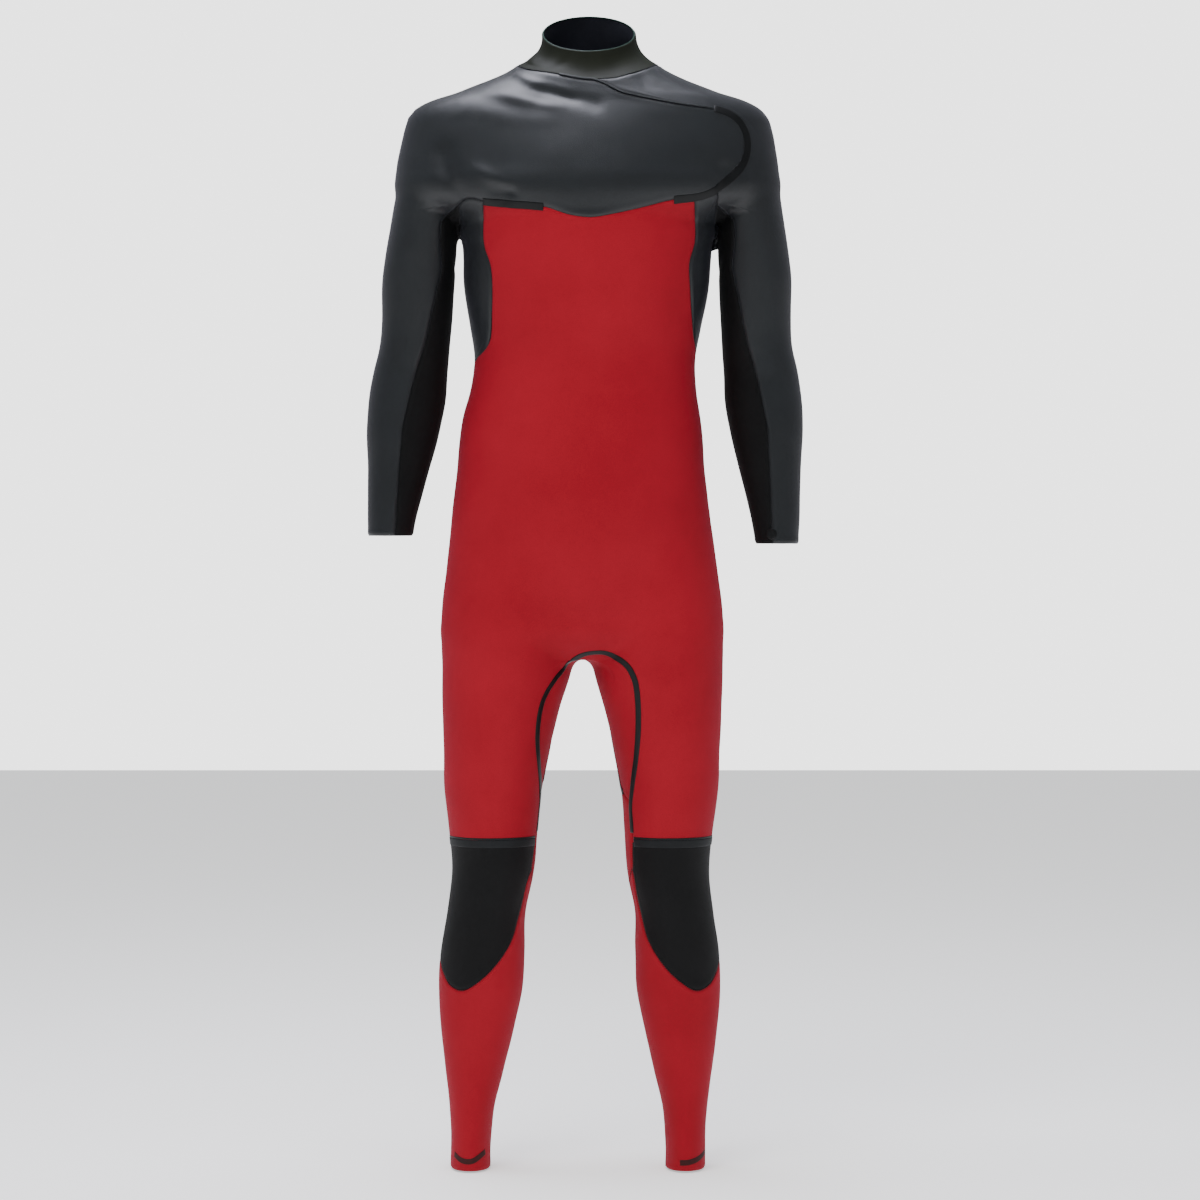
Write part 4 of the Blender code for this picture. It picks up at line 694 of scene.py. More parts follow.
def turnedTo(points, quads, away):
    # The quads, all turned round if they face against the directions given.
    return quads[:, ::-1] if (facingOf(points, quads) * away).sum() < 0 else quads


def rimOf(faces):
    # The directed edges that only one face has.
    edges = np.vstack([faces[:, [k, (k + 1) % 4]] for k in range(4)])
    edges = edges[edges[:, 0] != edges[:, 1]]
    size = int(edges.max()) + 1
    forward, backward = edges[:, 0] * size + edges[:, 1], edges[:, 1] * size + edges[:, 0]
    return edges[~np.isin(forward, backward)]


def normalsOf(points, faces):
    # Area-weighted normals at the points of a grid of quads.
    facing, total = facingOf(points, faces), np.zeros_like(points)
    for k in range(4):
        np.add.at(total, faces[:, k], facing)
    return unit(total)


sheetMake = {"edgeRows": 10, "probes": 60, "merge": 0.02 * mm, "facing": 0.6}


def clothMesh(name, grids, borders, materials):
    # Grids that share a side become one sheet; it is creased, grooved along its borders and given a wall.
    points = np.vstack([g.reshape(-1, 3) for g in grids])
    faces, uv, first, rows = [], [], 0, sheetMake["edgeRows"]
    atEdge = np.zeros(len(points), dtype=bool)
    for g in grids:
        index = first + np.arange(g.shape[0] * g.shape[1]).reshape(g.shape[:2])
        for side in (index[:rows], index[-rows:], index[:, :rows], index[:, -rows:]):
            atEdge[side.reshape(-1)] = True
        quads = quadsOf(index)
        probe = quads[:: max(1, len(quads) // sheetMake["probes"])]
        outwards = (facingOf(points, probe) * slopeOf(points[probe].mean(axis=1))).sum() > 0
        faces.append(quads if outwards else quads[:, ::-1])
        steps = [np.linalg.norm(np.diff(g, axis=axis), axis=2) for axis in (1, 0)]
        across = np.pad(np.cumsum(steps[0], axis=1), ((0, 0), (1, 0)))
        down = np.pad(np.cumsum(steps[1], axis=0), ((1, 0), (0, 0)))
        uv.append(np.stack([across - across.mean(axis=1, keepdims=True), -down], axis=-1).reshape(-1, 2))
        first += index.size
    faces, uv = np.vstack(faces), np.vstack(uv)
    rounded = np.round(points / sheetMake["merge"]).astype(int)
    _, keep, number = np.unique(rounded, axis=0, return_index=True, return_inverse=True)
    corners = number.reshape(-1)[faces]
    points, atEdge = points[keep], atEdge[keep]
    real = np.linalg.norm(facingOf(points, corners), axis=1) > 1e-12
    corners, faces = corners[real], faces[real]
    out, away = normalsOf(points, corners), slopeOf(points)
    out = np.where((out * away).sum(axis=1)[:, None] < sheetMake["facing"], away, out)
    rims = rimOf(corners)
    gap = np.full(len(points), 1.0)
    near = np.flatnonzero(atEdge)
    gap[near] = np.min([nearest(points[near], line) for line in borders], axis=0)
    side = np.cross(out[rims[:, 0]], unit(points[rims[:, 1]] - points[rims[:, 0]]))
    into = np.zeros_like(points)
    for k in (0, 1):
        np.add.at(into, rims[:, k], side)
    into, pushed = unit(into) * seamHalfGap, pressed(points)
    outer = points + out * (undulation(points) - pushed + seamRelief(gap))[:, None] + into
    inner = points - out * (pushed + wall)[:, None] + into
    return closedMesh(name, outer, inner, corners, rims, uv[faces.reshape(-1)], materials)


def closedMesh(name, outer, inner, corners, rims, uv, materials):
    # An outer skin, the same skin turned round inside, and quads between their rims.
    n = len(outer)
    sides = np.stack([rims[:, 1], rims[:, 0], rims[:, 0] + n, rims[:, 1] + n], axis=1)
    faces = np.vstack([corners, corners[:, ::-1] + n, sides])
    loopUv = np.vstack([uv, uv.reshape(-1, 4, 2)[:, ::-1].reshape(-1, 2), np.zeros((len(sides) * 4, 2))])
    slots = np.repeat(np.arange(3), [len(corners), len(corners), len(sides)])
    return meshPiece(name, np.vstack([outer, inner]), faces, loopUv, slots, materials)


def meshPiece(name, points, faces, uv=None, slots=None, materials=()):
    # A mesh object at the origin from quads; a quad with a corner twice becomes a triangle.
    same = faces == np.roll(faces, 1, axis=1)
    sizes = 4 - same.sum(axis=1)
    flatFaces = faces.reshape(-1)[~same.reshape(-1)]
    mesh = bpy.data.meshes.new(name)
    mesh.vertices.add(len(points))
    mesh.vertices.foreach_set("co", np.ascontiguousarray(points, dtype=np.float32).reshape(-1))
    mesh.loops.add(len(flatFaces))
    mesh.loops.foreach_set("vertex_index", flatFaces.astype(np.int32))
    mesh.polygons.add(len(faces))
    mesh.polygons.foreach_set("loop_start", np.r_[0, np.cumsum(sizes)[:-1]].astype(np.int32))
    for material in materials:
        mesh.materials.append(material)
    if slots is not None:
        mesh.polygons.foreach_set("material_index", np.minimum(slots, len(materials) - 1).astype(np.int32))
    mesh.update(calc_edges=True)
    mesh.validate()
    if uv is not None and len(mesh.loops) == len(flatFaces):
        layer = mesh.uv_layers.new(name="cloth")
        layer.data.foreach_set("uv", uv[~same.reshape(-1)].astype(np.float32).reshape(-1))
    mesh.shade_smooth()
    thing = bpy.data.objects.new(name, mesh)
    bpy.context.scene.collection.objects.link(thing)
    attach(thing, "root")
    return thing


def link(tree, source, socket, target, name):
    tree.links.new(source.outputs[socket], target.inputs[name])


def added(tree, kind, **values):
    node = tree.nodes.new(kind)
    for name, value in values.items():
        if name in node.inputs:
            node.inputs[name].default_value = value
        else:
            setattr(node, name, value)
    return node


def mixed(tree, factor, a, b):
    # A colour mix whose factor is a node's output.
    node = added(tree, "ShaderNodeMix", data_type="RGBA")
    tree.links.new(factor, node.inputs["Factor"])
    node.inputs["A"].default_value, node.inputs["B"].default_value = (*a, 1), (*b, 1)
    return node


def ramped(tree, source, low, high, lowest=0, highest=1):
    # A value drawn from lowest at low to highest at high.
    node = added(tree, "ShaderNodeMapRange")
    for name, value in (("From Min", low), ("From Max", high), ("To Min", lowest), ("To Max", highest)):
        node.inputs[name].default_value = value
    link(tree, source, "Fac", node, "Value")
    return node


def bumped(tree, source, socket, strength, distance):
    node = added(tree, "ShaderNodeBump", Strength=strength, Distance=distance)
    link(tree, source, socket, node, "Height")
    return node


def surface(name, look, patchRough, grainScale, grain):
    # A new material: its colour drifts from dark to light in patches. Also gives its nodes and a finer noise.
    material = bpy.data.materials.new(name)
    material.use_nodes = True
    tree = material.node_tree
    shader, place = tree.nodes["Principled BSDF"], added(tree, "ShaderNodeTexCoord")
    shader.inputs["Specular IOR Level"].default_value = look["gloss"]
    patches = added(tree, "ShaderNodeTexNoise", Scale=look["patches"], Detail=4.0, Roughness=patchRough)
    fine = added(tree, "ShaderNodeTexNoise", Scale=grainScale, **grain)
    for noise in (patches, fine):
        link(tree, place, "Object", noise, "Vector")
    return material, tree, shader, place, patches, fine


knit = {"fibreScale": 900.0, "speckRange": (0.3, 0.7), "coursesPerWale": 1.25, "knitDeep": 0.3 * mm,
        "fibreDeep": 0.6 * mm, "sheenRough": 0.45}


def jersey(name, look):
    # Knit jersey on foam: wales and courses from the panel's own UV, melange from noise, a soft fibre sheen.
    grain = {"Detail": 3.0, "Roughness": 0.65}
    material, tree, shader, place, patches, fibre = surface(name, look, 0.6, knit["fibreScale"], grain)
    drift = ramped(tree, patches, 0.32, 0.68)
    tone = mixed(tree, drift.outputs["Result"], look["dark"], look["light"])
    speck = added(tree, "ShaderNodeMix", data_type="RGBA", blend_type="MULTIPLY")
    speck.inputs["Factor"].default_value = look["speck"]
    link(tree, tone, "Result", speck, "A")
    link(tree, ramped(tree, fibre, *knit["speckRange"]), "Result", speck, "B")
    link(tree, speck, "Result", shader, "Base Color")
    loops = added(tree, "ShaderNodeMath", operation="MULTIPLY")
    for k, (way, scale) in enumerate((("X", look["wales"]), ("Y", look["wales"] * knit["coursesPerWale"]))):
        wave = added(tree, "ShaderNodeTexWave", Scale=scale, Distortion=0.6, Detail=1.0)
        wave.bands_direction = way
        link(tree, place, "UV", wave, "Vector")
        tree.links.new(wave.outputs["Fac"], loops.inputs[k])
    link(tree, ramped(tree, fibre, 0.2, 0.8, *look["rough"]), "Result", shader, "Roughness")
    fine = bumped(tree, loops, "Value", look["knitBump"], knit["knitDeep"])
    link(tree, bumped(tree, fibre, "Fac", look["fibreBump"], knit["fibreDeep"]), "Normal", fine, "Normal")
    link(tree, fine, "Normal", shader, "Normal")
    shader.inputs["Sheen Weight"].default_value = look["sheen"]
    shader.inputs["Sheen Roughness"].default_value = knit["sheenRough"]
    shader.inputs["Sheen Tint"].default_value = (*look["sheenTint"], 1)
    return material


def skinRubber(name, look):
    # Smooth-skin neoprene or tape: faint pores and waves in a rubber skin with a dull polish.
    material, tree, shader, _, cloud, pores = surface(name, look, 0.55, look["pores"], {"Detail": 2.0})
    tone = mixed(tree, ramped(tree, cloud, 0.3, 0.7).outputs["Result"], look["dark"], look["light"])
    link(tree, tone, "Result", shader, "Base Color")
    link(tree, ramped(tree, cloud, 0.25, 0.75, *look["rough"]), "Result", shader, "Roughness")
    link(tree, bumped(tree, pores, "Fac", look["bump"], 0.4 * mm), "Normal", shader, "Normal")
    return material


clothLooks = {
    "charcoal": {"dark": (0.0082, 0.0097, 0.0110), "light": (0.0108, 0.0129, 0.0146), "rough": (0.34, 0.46),
                 "knitBump": 0.3, "fibreBump": 0.25, "sheen": 0.05, "sheenTint": (0.70, 0.66, 0.85), "gloss": 0.38},
    "black": {"dark": (0.0018, 0.0018, 0.0020), "light": (0.0032, 0.0032, 0.0034), "rough": (0.6, 0.8)},
    "red": {"dark": (0.275, 0.0068, 0.0150), "light": (0.325, 0.0088, 0.0190), "speck": 0.25, "patches": 7.0,
            "rough": (0.6, 0.85), "sheen": 0.06, "sheenTint": (0.95, 0.15, 0.4), "gloss": 0.10},
    "band": {"dark": (0.0066, 0.0076, 0.0084), "light": (0.0088, 0.0100, 0.0112), "patches": 12.0,
             "rough": (0.55, 0.7), "knitBump": 0.3, "fibreBump": 0.25, "sheenTint": (0.6, 0.6, 0.7), "gloss": 0.2},
    "lining": {"dark": (0.0030, 0.0034, 0.0055), "light": (0.0055, 0.0062, 0.0095), "patches": 12.0, "wales": 170.0,
               "rough": (0.7, 0.9), "knitBump": 0.4, "sheen": 0.05, "sheenTint": (0.5, 0.55, 0.8), "gloss": 0.2},
}
jerseyBase = {"speck": 0.3, "patches": 9.0, "wales": 190.0, "knitBump": 0.35, "fibreBump": 0.3, "sheen": 0.02,
              "sheenTint": (0.6, 0.6, 0.65), "gloss": 0.18}
rubberLooks = {
    "smoothSkin": {"dark": (0.0080, 0.0092, 0.0066), "light": (0.0125, 0.0142, 0.0102), "patches": 14.0,
                   "pores": 1400.0, "rough": (0.46, 0.56), "bump": 0.1, "gloss": 0.07},
    "tapeRubber": {"dark": (0.0020, 0.0023, 0.0025), "light": (0.0036, 0.0041, 0.0044), "patches": 30.0,
                   "pores": 1100.0, "rough": (0.42, 0.55), "bump": 0.2, "gloss": 0.22},
    "foam": {"dark": (0.004, 0.004, 0.0045), "light": (0.008, 0.008, 0.009), "patches": 120.0,
             "pores": 2200.0, "rough": (0.8, 0.95), "bump": 0.6, "gloss": 0.2},
    "thread": {"dark": (0.016, 0.018, 0.020), "light": (0.030, 0.032, 0.036), "patches": 60.0,
               "pores": 2600.0, "rough": (0.5, 0.7), "bump": 0.5, "gloss": 0.4},
    "wornPrint": {"dark": (0.026, 0.0085, 0.0085), "light": (0.050, 0.0110, 0.0110), "patches": 160.0,
                  "pores": 1500.0, "rough": (0.6, 0.8), "bump": 0.3, "gloss": 0.15},
    "rimLine": {"dark": (0.0020, 0.0200, 0.0120), "light": (0.0035, 0.0290, 0.0180), "patches": 60.0,
                "pores": 1500.0, "rough": (0.4, 0.5), "bump": 0.2, "gloss": 0.3},
    "redThread": {"dark": (0.085, 0.004, 0.006), "light": (0.14, 0.006, 0.010), "patches": 60.0,
                  "pores": 2600.0, "rough": (0.5, 0.7), "bump": 0.5, "gloss": 0.3},
}
cloth = {name: jersey(name, {**jerseyBase, **look}) for name, look in clothLooks.items()}
rubbers = {name: skinRubber(name, look) for name, look in rubberLooks.items()}
foam, lining = rubbers["foam"], cloth["lining"]
print("materials:", len(cloth) + len(rubbers))


def fourSides(top, foot, left, right, view, lift):
    # A patch whose four sides are lines, read at even shares of their lengths.
    u = graded(max(along(top)[-1], along(foot)[-1]))
    v = graded(max(along(left)[-1], along(right)[-1]))
    return patch(at(top, u), at(foot, u), at(left, v), at(right, v), u, v, view, lift)


def outerArea(thing):
    # The area of a panel's outer skin, which has its first material.
    area = np.empty(len(thing.data.polygons))
    slot = np.empty(len(area), dtype=np.int32)
    thing.data.polygons.foreach_get("area", area)
    thing.data.polygons.foreach_get("material_index", slot)
    return float(area[slot == 0].sum())


def panel(name, node, grids, borders, fabric, flat):
    # A cut piece as a sheet that stands for its solid. borders are lines or seams' names; flat is the cut.
    lines = [seams[border] if isinstance(border, str) else border for border in borders]
    thing = clothMesh(name, grids, lines, (cloth[fabric], lining, foam))
    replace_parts(thing, node)
    area = outerArea(thing)
    print(f"{name}: {len(thing.data.polygons)} faces, {area:.3f} square metres in {flat[0] * flat[1]:.3f}")


def sidesOf(words, side):
    return [word + side for word in words.split()]


def creaseShares(side):
    # The same shares along a shoulder crease for both of the patches that meet there.
    return graded(along(seams["crease" + side])[-1])


def sleevePatch(side, hand, neck):
    # Shoulder and outer sleeve in one: left along crease and front seam, right along raglan and back seam.
    names = sidesOf("crease sleeveFront raglan sleeveBack cuffOuter", side)
    crease, front, raglan, rear, foot = (seams[name] for name in names)
    upper, lower = creaseShares(side), graded(along(front)[-1])[1:]
    left = np.vstack([at(crease, upper), at(front, lower)])
    right = np.vstack([at(raglan, upper), at(rear, lower)])
    high, low = along(crease)[-1] + along(raglan)[-1], along(front)[-1] + along(rear)[-1]
    v = np.r_[upper * high, high + lower * low] / (high + low)
    u = graded(0.5 * (along(neck)[-1] + along(foot)[-1]) + 40 * mm)
    return patch(at(neck, u), at(foot, u), left, right, u, v, *sleeveView(hand, False))


def limbHalf(hand, face, top, inner, outer, foot):
    # Rows from the centre line, the gusset or the inner leg out to the side seam.
    left = join(*(at(line, graded(along(line)[-1], k == 0)) for k, line in enumerate(inner)))
    fall = np.clip((left[0, 2] - left[:, 2]) / (left[0, 2] - left[-1, 2]), 0, 1)
    right = atHeight(outer, outer[0, 2] + np.maximum.accumulate(fall) * (outer[-1, 2] - outer[0, 2]))
    right[0], right[-1] = outer[0], outer[-1]
    v = along(left) / along(left)[-1]
    u = graded(0.5 * (along(top)[-1] + along(foot)[-1]) + 30 * mm)
    return patch(at(top, u), at(foot, u), left, right, u, v, *axisView(hand, face))


def halves(topSeam, centre, gussetLine):
    # The centre line, and what is on its left and right of the seam above it and of the gusset's edge.
    apex = int(np.argmax(gussetLine[:, 2]))
    k = int(np.argmin(np.abs(topSeam[:, 0] - centre[0, 0])))
    centre = pinned(centre, topSeam[k], gussetLine[apex])
    tops = {"L": topSeam[k:], "R": rev(topSeam[: k + 1])}
    return centre, tops, {"L": gussetLine[apex:], "R": rev(gussetLine[: apex + 1])}


def bodyPanels():
    s = seams
    borders, grids = ["chestRight", "gussetFront"], []
    centre, tops, gussets = halves(s["chestRight"], s["centreFront"], s["gussetFront"])
    for hand, side, _ in hands:
        outer = join(s["sideFront" + side], s["sideUpper" + side])
        inner = [centre, gussets[side], s["innerUpper" + side]]
        grids.append(limbHalf(hand, -1, tops[side], inner, outer, rev(s["padTop" + side])))
        borders += sidesOf("sideFront sideUpper padTop innerUpper", side)
    panel("body_front", "front_body", grids, borders, "red", (0.50, 0.82))
    borders, grids = ["yokeFoot", "gussetBack"], []
    centre, tops, gussets = halves(s["yokeFoot"], s["centreBack"], s["gussetBack"])
    for hand, side, word in hands:
        seat, ankle = rev(s["seat" + side]), s["ankleBack" + side]
        upper, lower = parted(s["sideUpper" + side], seat[-1])
        high, low = parted(gussets[side], seat[0])
        grids.append(limbHalf(hand, 1, tops[side], [centre, high], join(s["sideBack" + side], upper), seat))
        borders += [seat, s["sideBack" + side], upper]
        inner = [low] + [s[n] for n in sidesOf("innerUpper innerPad innerShin", side)]
        outer = join(lower, s["sidePad" + side], s["sideShin" + side])
        leg = limbHalf(hand, 1, seat, inner, outer, rev(ankle))
        panel("leg_back_" + word, "back_leg_" + word, [leg], [seat, outer, ankle] + inner, "red", (0.27, 0.66))
    panel("body_back", "back_body", grids, borders, "red", (0.50, 0.62))


hands = ((1, "L", "left"), (-1, "R", "right"))
# The solid, the view, its top, foot, left and right, which of these runs the other way, the fabric and the cut.
limbPanels = {
    "undersleeve_panel_": ("undersleeve_", "sleeve", "pitLine cuffInner sleeveFront sleeveBack", None, "black",
                           (0.16, 0.45)),
    "knee_pad_": ("knee_", "leg", "padTop padFoot sidePad innerPad", 1, "black", (0.20, 0.19)),
    "shin_panel_": ("shin_", "leg", "padFoot ankleFront sideShin innerShin", 0, "red", (0.20, 0.39)),
}


def limbPanel(name, side, hand, word):
    node, view, words, turned, fabric, flat = limbPanels[name]
    sides = [seams[n] for n in sidesOf(words, side)]
    sides = [rev(line) if k == turned else line for k, line in enumerate(sides)]
    grid = fourSides(*sides, *(sleeveView(hand, True) if view == "sleeve" else axisView(hand, -1)))
    panel(name + word, node + word, [grid], sidesOf(words, side), fabric, flat)


def makePanels():
    s = seams
    # Chest, right shoulder and right outer sleeve are one cut piece, the flap.
    k = nearTo(s["flapEdge"], *flapCorners["shoulder"])
    top = join(s["neckRight"], s["flapEdge"][: k + 1])
    foot = join(rev(s["pitR"]), s["chestRight"], s["chestLeft"])
    u, v = graded(along(foot)[-1]), creaseShares("R")
    sides = at(s["creaseR"], v), at(s["flapEdge"][k:], v)
    chest = patch(at(top, u), at(foot, u), *sides, u, v, frontView, castLift(-1))
    borders = "neckRight flapEdge chestLeft chestRight pitR neckRear raglanR sleeveFrontR cuffOuterR sleeveBackR"
    panel("flap_chest", "chest_flap", [chest, sleevePatch("R", -1, rev(s["neckRear"]))], borders.split(), "charcoal",
          (0.62, 0.72))
    # The left shoulder with the strip above the flap and the outer sleeve.
    u, v = graded(along(s["neckFront"])[-1]), creaseShares("L")
    sides = at(s["flapEdge"], v), at(s["creaseL"], v)
    strip = patch(at(s["neckFront"], u), at(s["pitL"], u), *sides, u, v, frontView, castLift(-1))
    borders = "neckFront flapEdge pitL neckLeft raglanL sleeveFrontL cuffOuterL sleeveBackL"
    panel("shoulder_and_sleeve_left", "shoulder_left", [strip, sleevePatch("L", 1, s["neckLeft"])], borders.split(),
          "charcoal", (0.34, 0.72))
    foot = join(rev(s["cornerL"]), rev(s["yokeFoot"]), s["cornerR"])
    yoke = fourSides(s["neckBack"], foot, s["raglanL"], s["raglanR"], frontView, castLift(1))
    panel("yoke_back", "back_yoke", [yoke], "neckBack cornerL yokeFoot cornerR raglanL raglanR".split(), "charcoal",
          (0.34, 0.24))
    bodyPanels()
    u, v = graded(along(s["gussetFront"])[-1]), graded(150 * mm)
    ends = [np.repeat(s["innerUpper" + side][:1], len(v), axis=0) for side in "RL"]
    grid = patch(at(s["gussetFront"], u), at(s["gussetBack"], u), *ends, u, v, lambda p: p, lambda q: settle(q, 12))
    panel("gusset_panel", "gusset", [grid], ["gussetFront", "gussetBack"], "red", (0.42, 0.17))
    for hand, side, word in hands:
        limbPanel("undersleeve_panel_", side, hand, word)
        top = [s["chestLeft"], s["pitL"]] if side == "L" else [s["pitR"]]
        top = join(*top, s["pitLine" + side], rev(s["corner" + side]))
        left, right = s["sideFront" + side], s["sideBack" + side]
        foot = np.vstack([left[-1:], left[-1:] + 1e-9])
        grid = fourSides(top, foot, left, right, sideView, sideLift(hand))
        panel("side_panel_" + word, "side_" + word, [grid], [top, left, right], "charcoal", (0.22, 0.22))
        for name in ("knee_pad_", "shin_panel_"):
            limbPanel(name, side, hand, word)


makePanels()
print("panels done")

collarShape = {
    "x": 1 * mm, "y": 8 * mm, "z": 57 * mm, "wide": 60 * mm, "deep": 59 * mm, "rise": 30 * mm, "flare": 2.6,
    "wall": 2.0 * mm, "around": 190, "rings": 26, "lip": 0.97, "tall": 75 * mm, "flat": (0.40, 0.12),
    "folds": [(3, 0.6, 0.9, 0), (7, -1.1, 0.5, 1)],  # waves round it, their start, height in mm, growth upwards
    # Soft bumps and creases: degrees, lean, half width, share of the height, its half width, height in mm.
    "bumps": [(-163, 0, 12, 0.3, 0.13, 3.0), (-158, 0, 15, 0.1, 0.06, -2.4), (-128, 14, 5.5, 0.35, 0.3, -1.5)],
    "lineRadius": 0.85 * mm, "lineProud": 0.9 * mm, "lineSides": 8,
}


def makeCollar():
    # Rings from the neck seam up to a tilted oval rim: rim + (foot - rim)(1 - share)^flare, with soft upright folds.
    c = collarShape
    loop = join(*(seams[name] for name, _, _ in neckSeam["parts"]))
    foot = at(loop, np.linspace(0, 1, c["around"] + 1))
    turn = np.arctan2(foot[:, 1] - c["y"], foot[:, 0] - c["x"])
    rim = np.stack([c["x"] + c["wide"] * np.cos(turn), c["y"] + c["deep"] * np.sin(turn),
                    c["z"] + c["rise"] * np.sin(turn)], axis=1)
    share = np.r_[0, 0.008, 0.02, 0.04, np.linspace(0.07, 0.95, c["rings"]), 0.97, 0.985, 0.995, 1.0][:, None]
    skin = rim[None] + (foot - rim)[None] * ((1 - share) ** c["flare"])[..., None]
    skin[..., 2] = foot[None, :, 2] + (rim - foot)[None, :, 2] * share
    relief = sum(high * np.cos(count * turn + start)[None] * share**growth for count, start, high, growth in c["folds"])
    relief = relief * np.sin(math.pi * share) ** 0.8
    for place, lean, wide, level, tall, high in c["bumps"]:
        off = (np.degrees(turn)[None] - place - lean * share) / wide
        relief = relief + high * np.exp(-(off**2) - ((share - level) / tall) ** 2)
    lip = np.clip((share - c["lip"]) / (1 - c["lip"]), 0, 1) ** 2
    relief = relief - 0.8 * lip - 0.8 * np.exp(-((share / 0.015) ** 2))
    radial = np.stack([np.cos(turn), np.sin(turn), np.zeros(len(turn))], axis=1)[None]
    skin = skin + radial * (relief * mm)[..., None]
    du = np.roll(skin[:, :-1], -1, axis=1) - np.roll(skin[:, :-1], 1, axis=1)
    out = unit(np.cross(np.concatenate([du, du[:, :1]], axis=1), np.gradient(skin, axis=0)))
    out *= np.sign((out * radial).sum())
    inside = skin - out * (c["wall"] - lip * 0.6 * mm)[..., None]
    rows, cols = skin.shape[:2]
    number = np.arange(rows)[:, None] * (cols - 1) + np.arange(cols)[None] % (cols - 1)
    grid = np.stack(np.broadcast_arrays(along(foot)[None], share * c["tall"]), axis=-1)
    quads, uv = (np.stack([g[:-1, :-1], g[:-1, 1:], g[1:, 1:], g[1:, :-1]], axis=2) for g in (number, grid))
    quads, uv = quads.reshape(-1, 4), uv.reshape(-1, 4, 2)
    outer, inner = skin[:, :-1].reshape(-1, 3), inside[:, :-1].reshape(-1, 3)
    away = (outer[quads].mean(axis=1) - outer.mean(axis=0)) * [1, 1, 0]
    if (facingOf(outer, quads) * away).sum() < 0:
        quads, uv = quads[:, ::-1], uv[:, ::-1]
    thing = closedMesh("neck_collar", outer, inner, quads, rimOf(quads), uv.reshape(-1, 2),
                       (rubbers["smoothSkin"], lining, foam))
    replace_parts(thing, "collar")
    area = outerArea(thing)
    print(f"collar: {area:.3f} square metres")
    # The trimmed edge shows as a fine line along the rim: a thin tube.
    line, side = (skin[-1] + inside[-1])[:-1] / 2, out[-1][:-1]
    beyond = np.cross(unit(np.roll(line, -1, axis=0) - np.roll(line, 1, axis=0)), side)
    beyond *= np.sign(beyond[:, 2].sum())
    angle = np.linspace(0, 2 * math.pi, c["lineSides"], endpoint=False)[None, :, None]
    ring = np.cos(angle) * side[:, None] + np.sin(angle) * beyond[:, None]
    tube = line[:, None] + beyond[:, None] * c["lineProud"] + ring * c["lineRadius"]
    index = np.arange(len(line) * c["lineSides"]).reshape(len(line), -1)
    quads = quadsOf(np.pad(index, ((0, 1), (0, 1)), mode="wrap"))
    flat = tube.reshape(-1, 3)
    quads = turnedTo(flat, quads, flat[quads].mean(axis=1) - np.repeat(tube.mean(axis=1), c["lineSides"], axis=0))
    meshPiece("collar_rim_line", flat, quads, materials=(rubbers["rimLine"],))


makeCollar()

tapeProfile = {"across": np.array([-1, -0.985, -0.93, -0.8, -0.45, 0, 0.45, 0.8, 0.93, 0.985, 1]),
               "height": np.array([0, 0.45, 0.8, 0.97, 1, 1, 1, 0.97, 0.8, 0.45, 0])}
laid = {"lift": 0.15 * mm, "sunk": 0.5 * mm, "step": 3 * mm, "endRows": np.array([0, 0.3, 0.9, 1.8]) * mm}


def ribbon(name, line, wide, thick, material):
    # A rounded tape: its profile is carried along a line on the form, with closed ends.
    far, ends = along(line)[-1], laid["endRows"]
    edge = ends / far
    s = np.r_[edge[:-1], np.linspace(edge[-1], 1 - edge[-1], max(3, int(far / laid["step"]))), 1 - edge[:-1][::-1]]
    middle = settle(at(line, s))
    side = unit(np.cross(slopeOf(middle), unit(np.gradient(middle, axis=0))))
    across = tapeProfile["across"] * wide / 2
    skin = settle((middle[:, None] + side[:, None] * across[None, :, None]).reshape(-1, 3), 3)
    out, shape = slopeOf(skin), (len(s), len(across))
    fade = np.sqrt(np.clip(np.minimum(s, 1 - s) * far / ends[-1], 0, 1))
    height = laid["lift"] + thick * (tapeProfile["height"][None] * fade[:, None]).reshape(-1) - pressed(skin)
    outer = skin + out * height[:, None]
    quads = quadsOf(np.arange(len(skin)).reshape(shape))
    quads = turnedTo(outer, quads, out[quads[:, 0]])
    uv = np.stack(np.broadcast_arrays(across[None], (s * far)[:, None]), axis=-1).reshape(-1, 2)
    inner = skin - out * laid["sunk"]
    thing = closedMesh(name, outer, inner, quads, rimOf(quads), uv[quads.reshape(-1)], (material,))
    return thing


def smoothLine(line, every=7):
    # A line with its small kinks drawn out.
    return spaced(smoothThrough(np.vstack([line[:-1:every], line[-1:]]), 500), 2.5 * mm)


# Widths and thicknesses of what is laid on the seams.
tapeSizes = {"shoulder": (11 * mm, 0.9 * mm), "chest": (10 * mm, 0.9 * mm), "gusset": (8 * mm, 0.9 * mm),
             "band": (10 * mm, 0.9 * mm), "line": (2.4 * mm, 0.5 * mm), "piping": (2.4 * mm, 1.3 * mm),
             "grip": (7 * mm, 0.25 * mm)}
tapeEnds = {"chestX": -54 * mm, "gussetZ": -960 * mm, "lineAbove": 6.2 * mm, "bandEnd": 2 * mm}


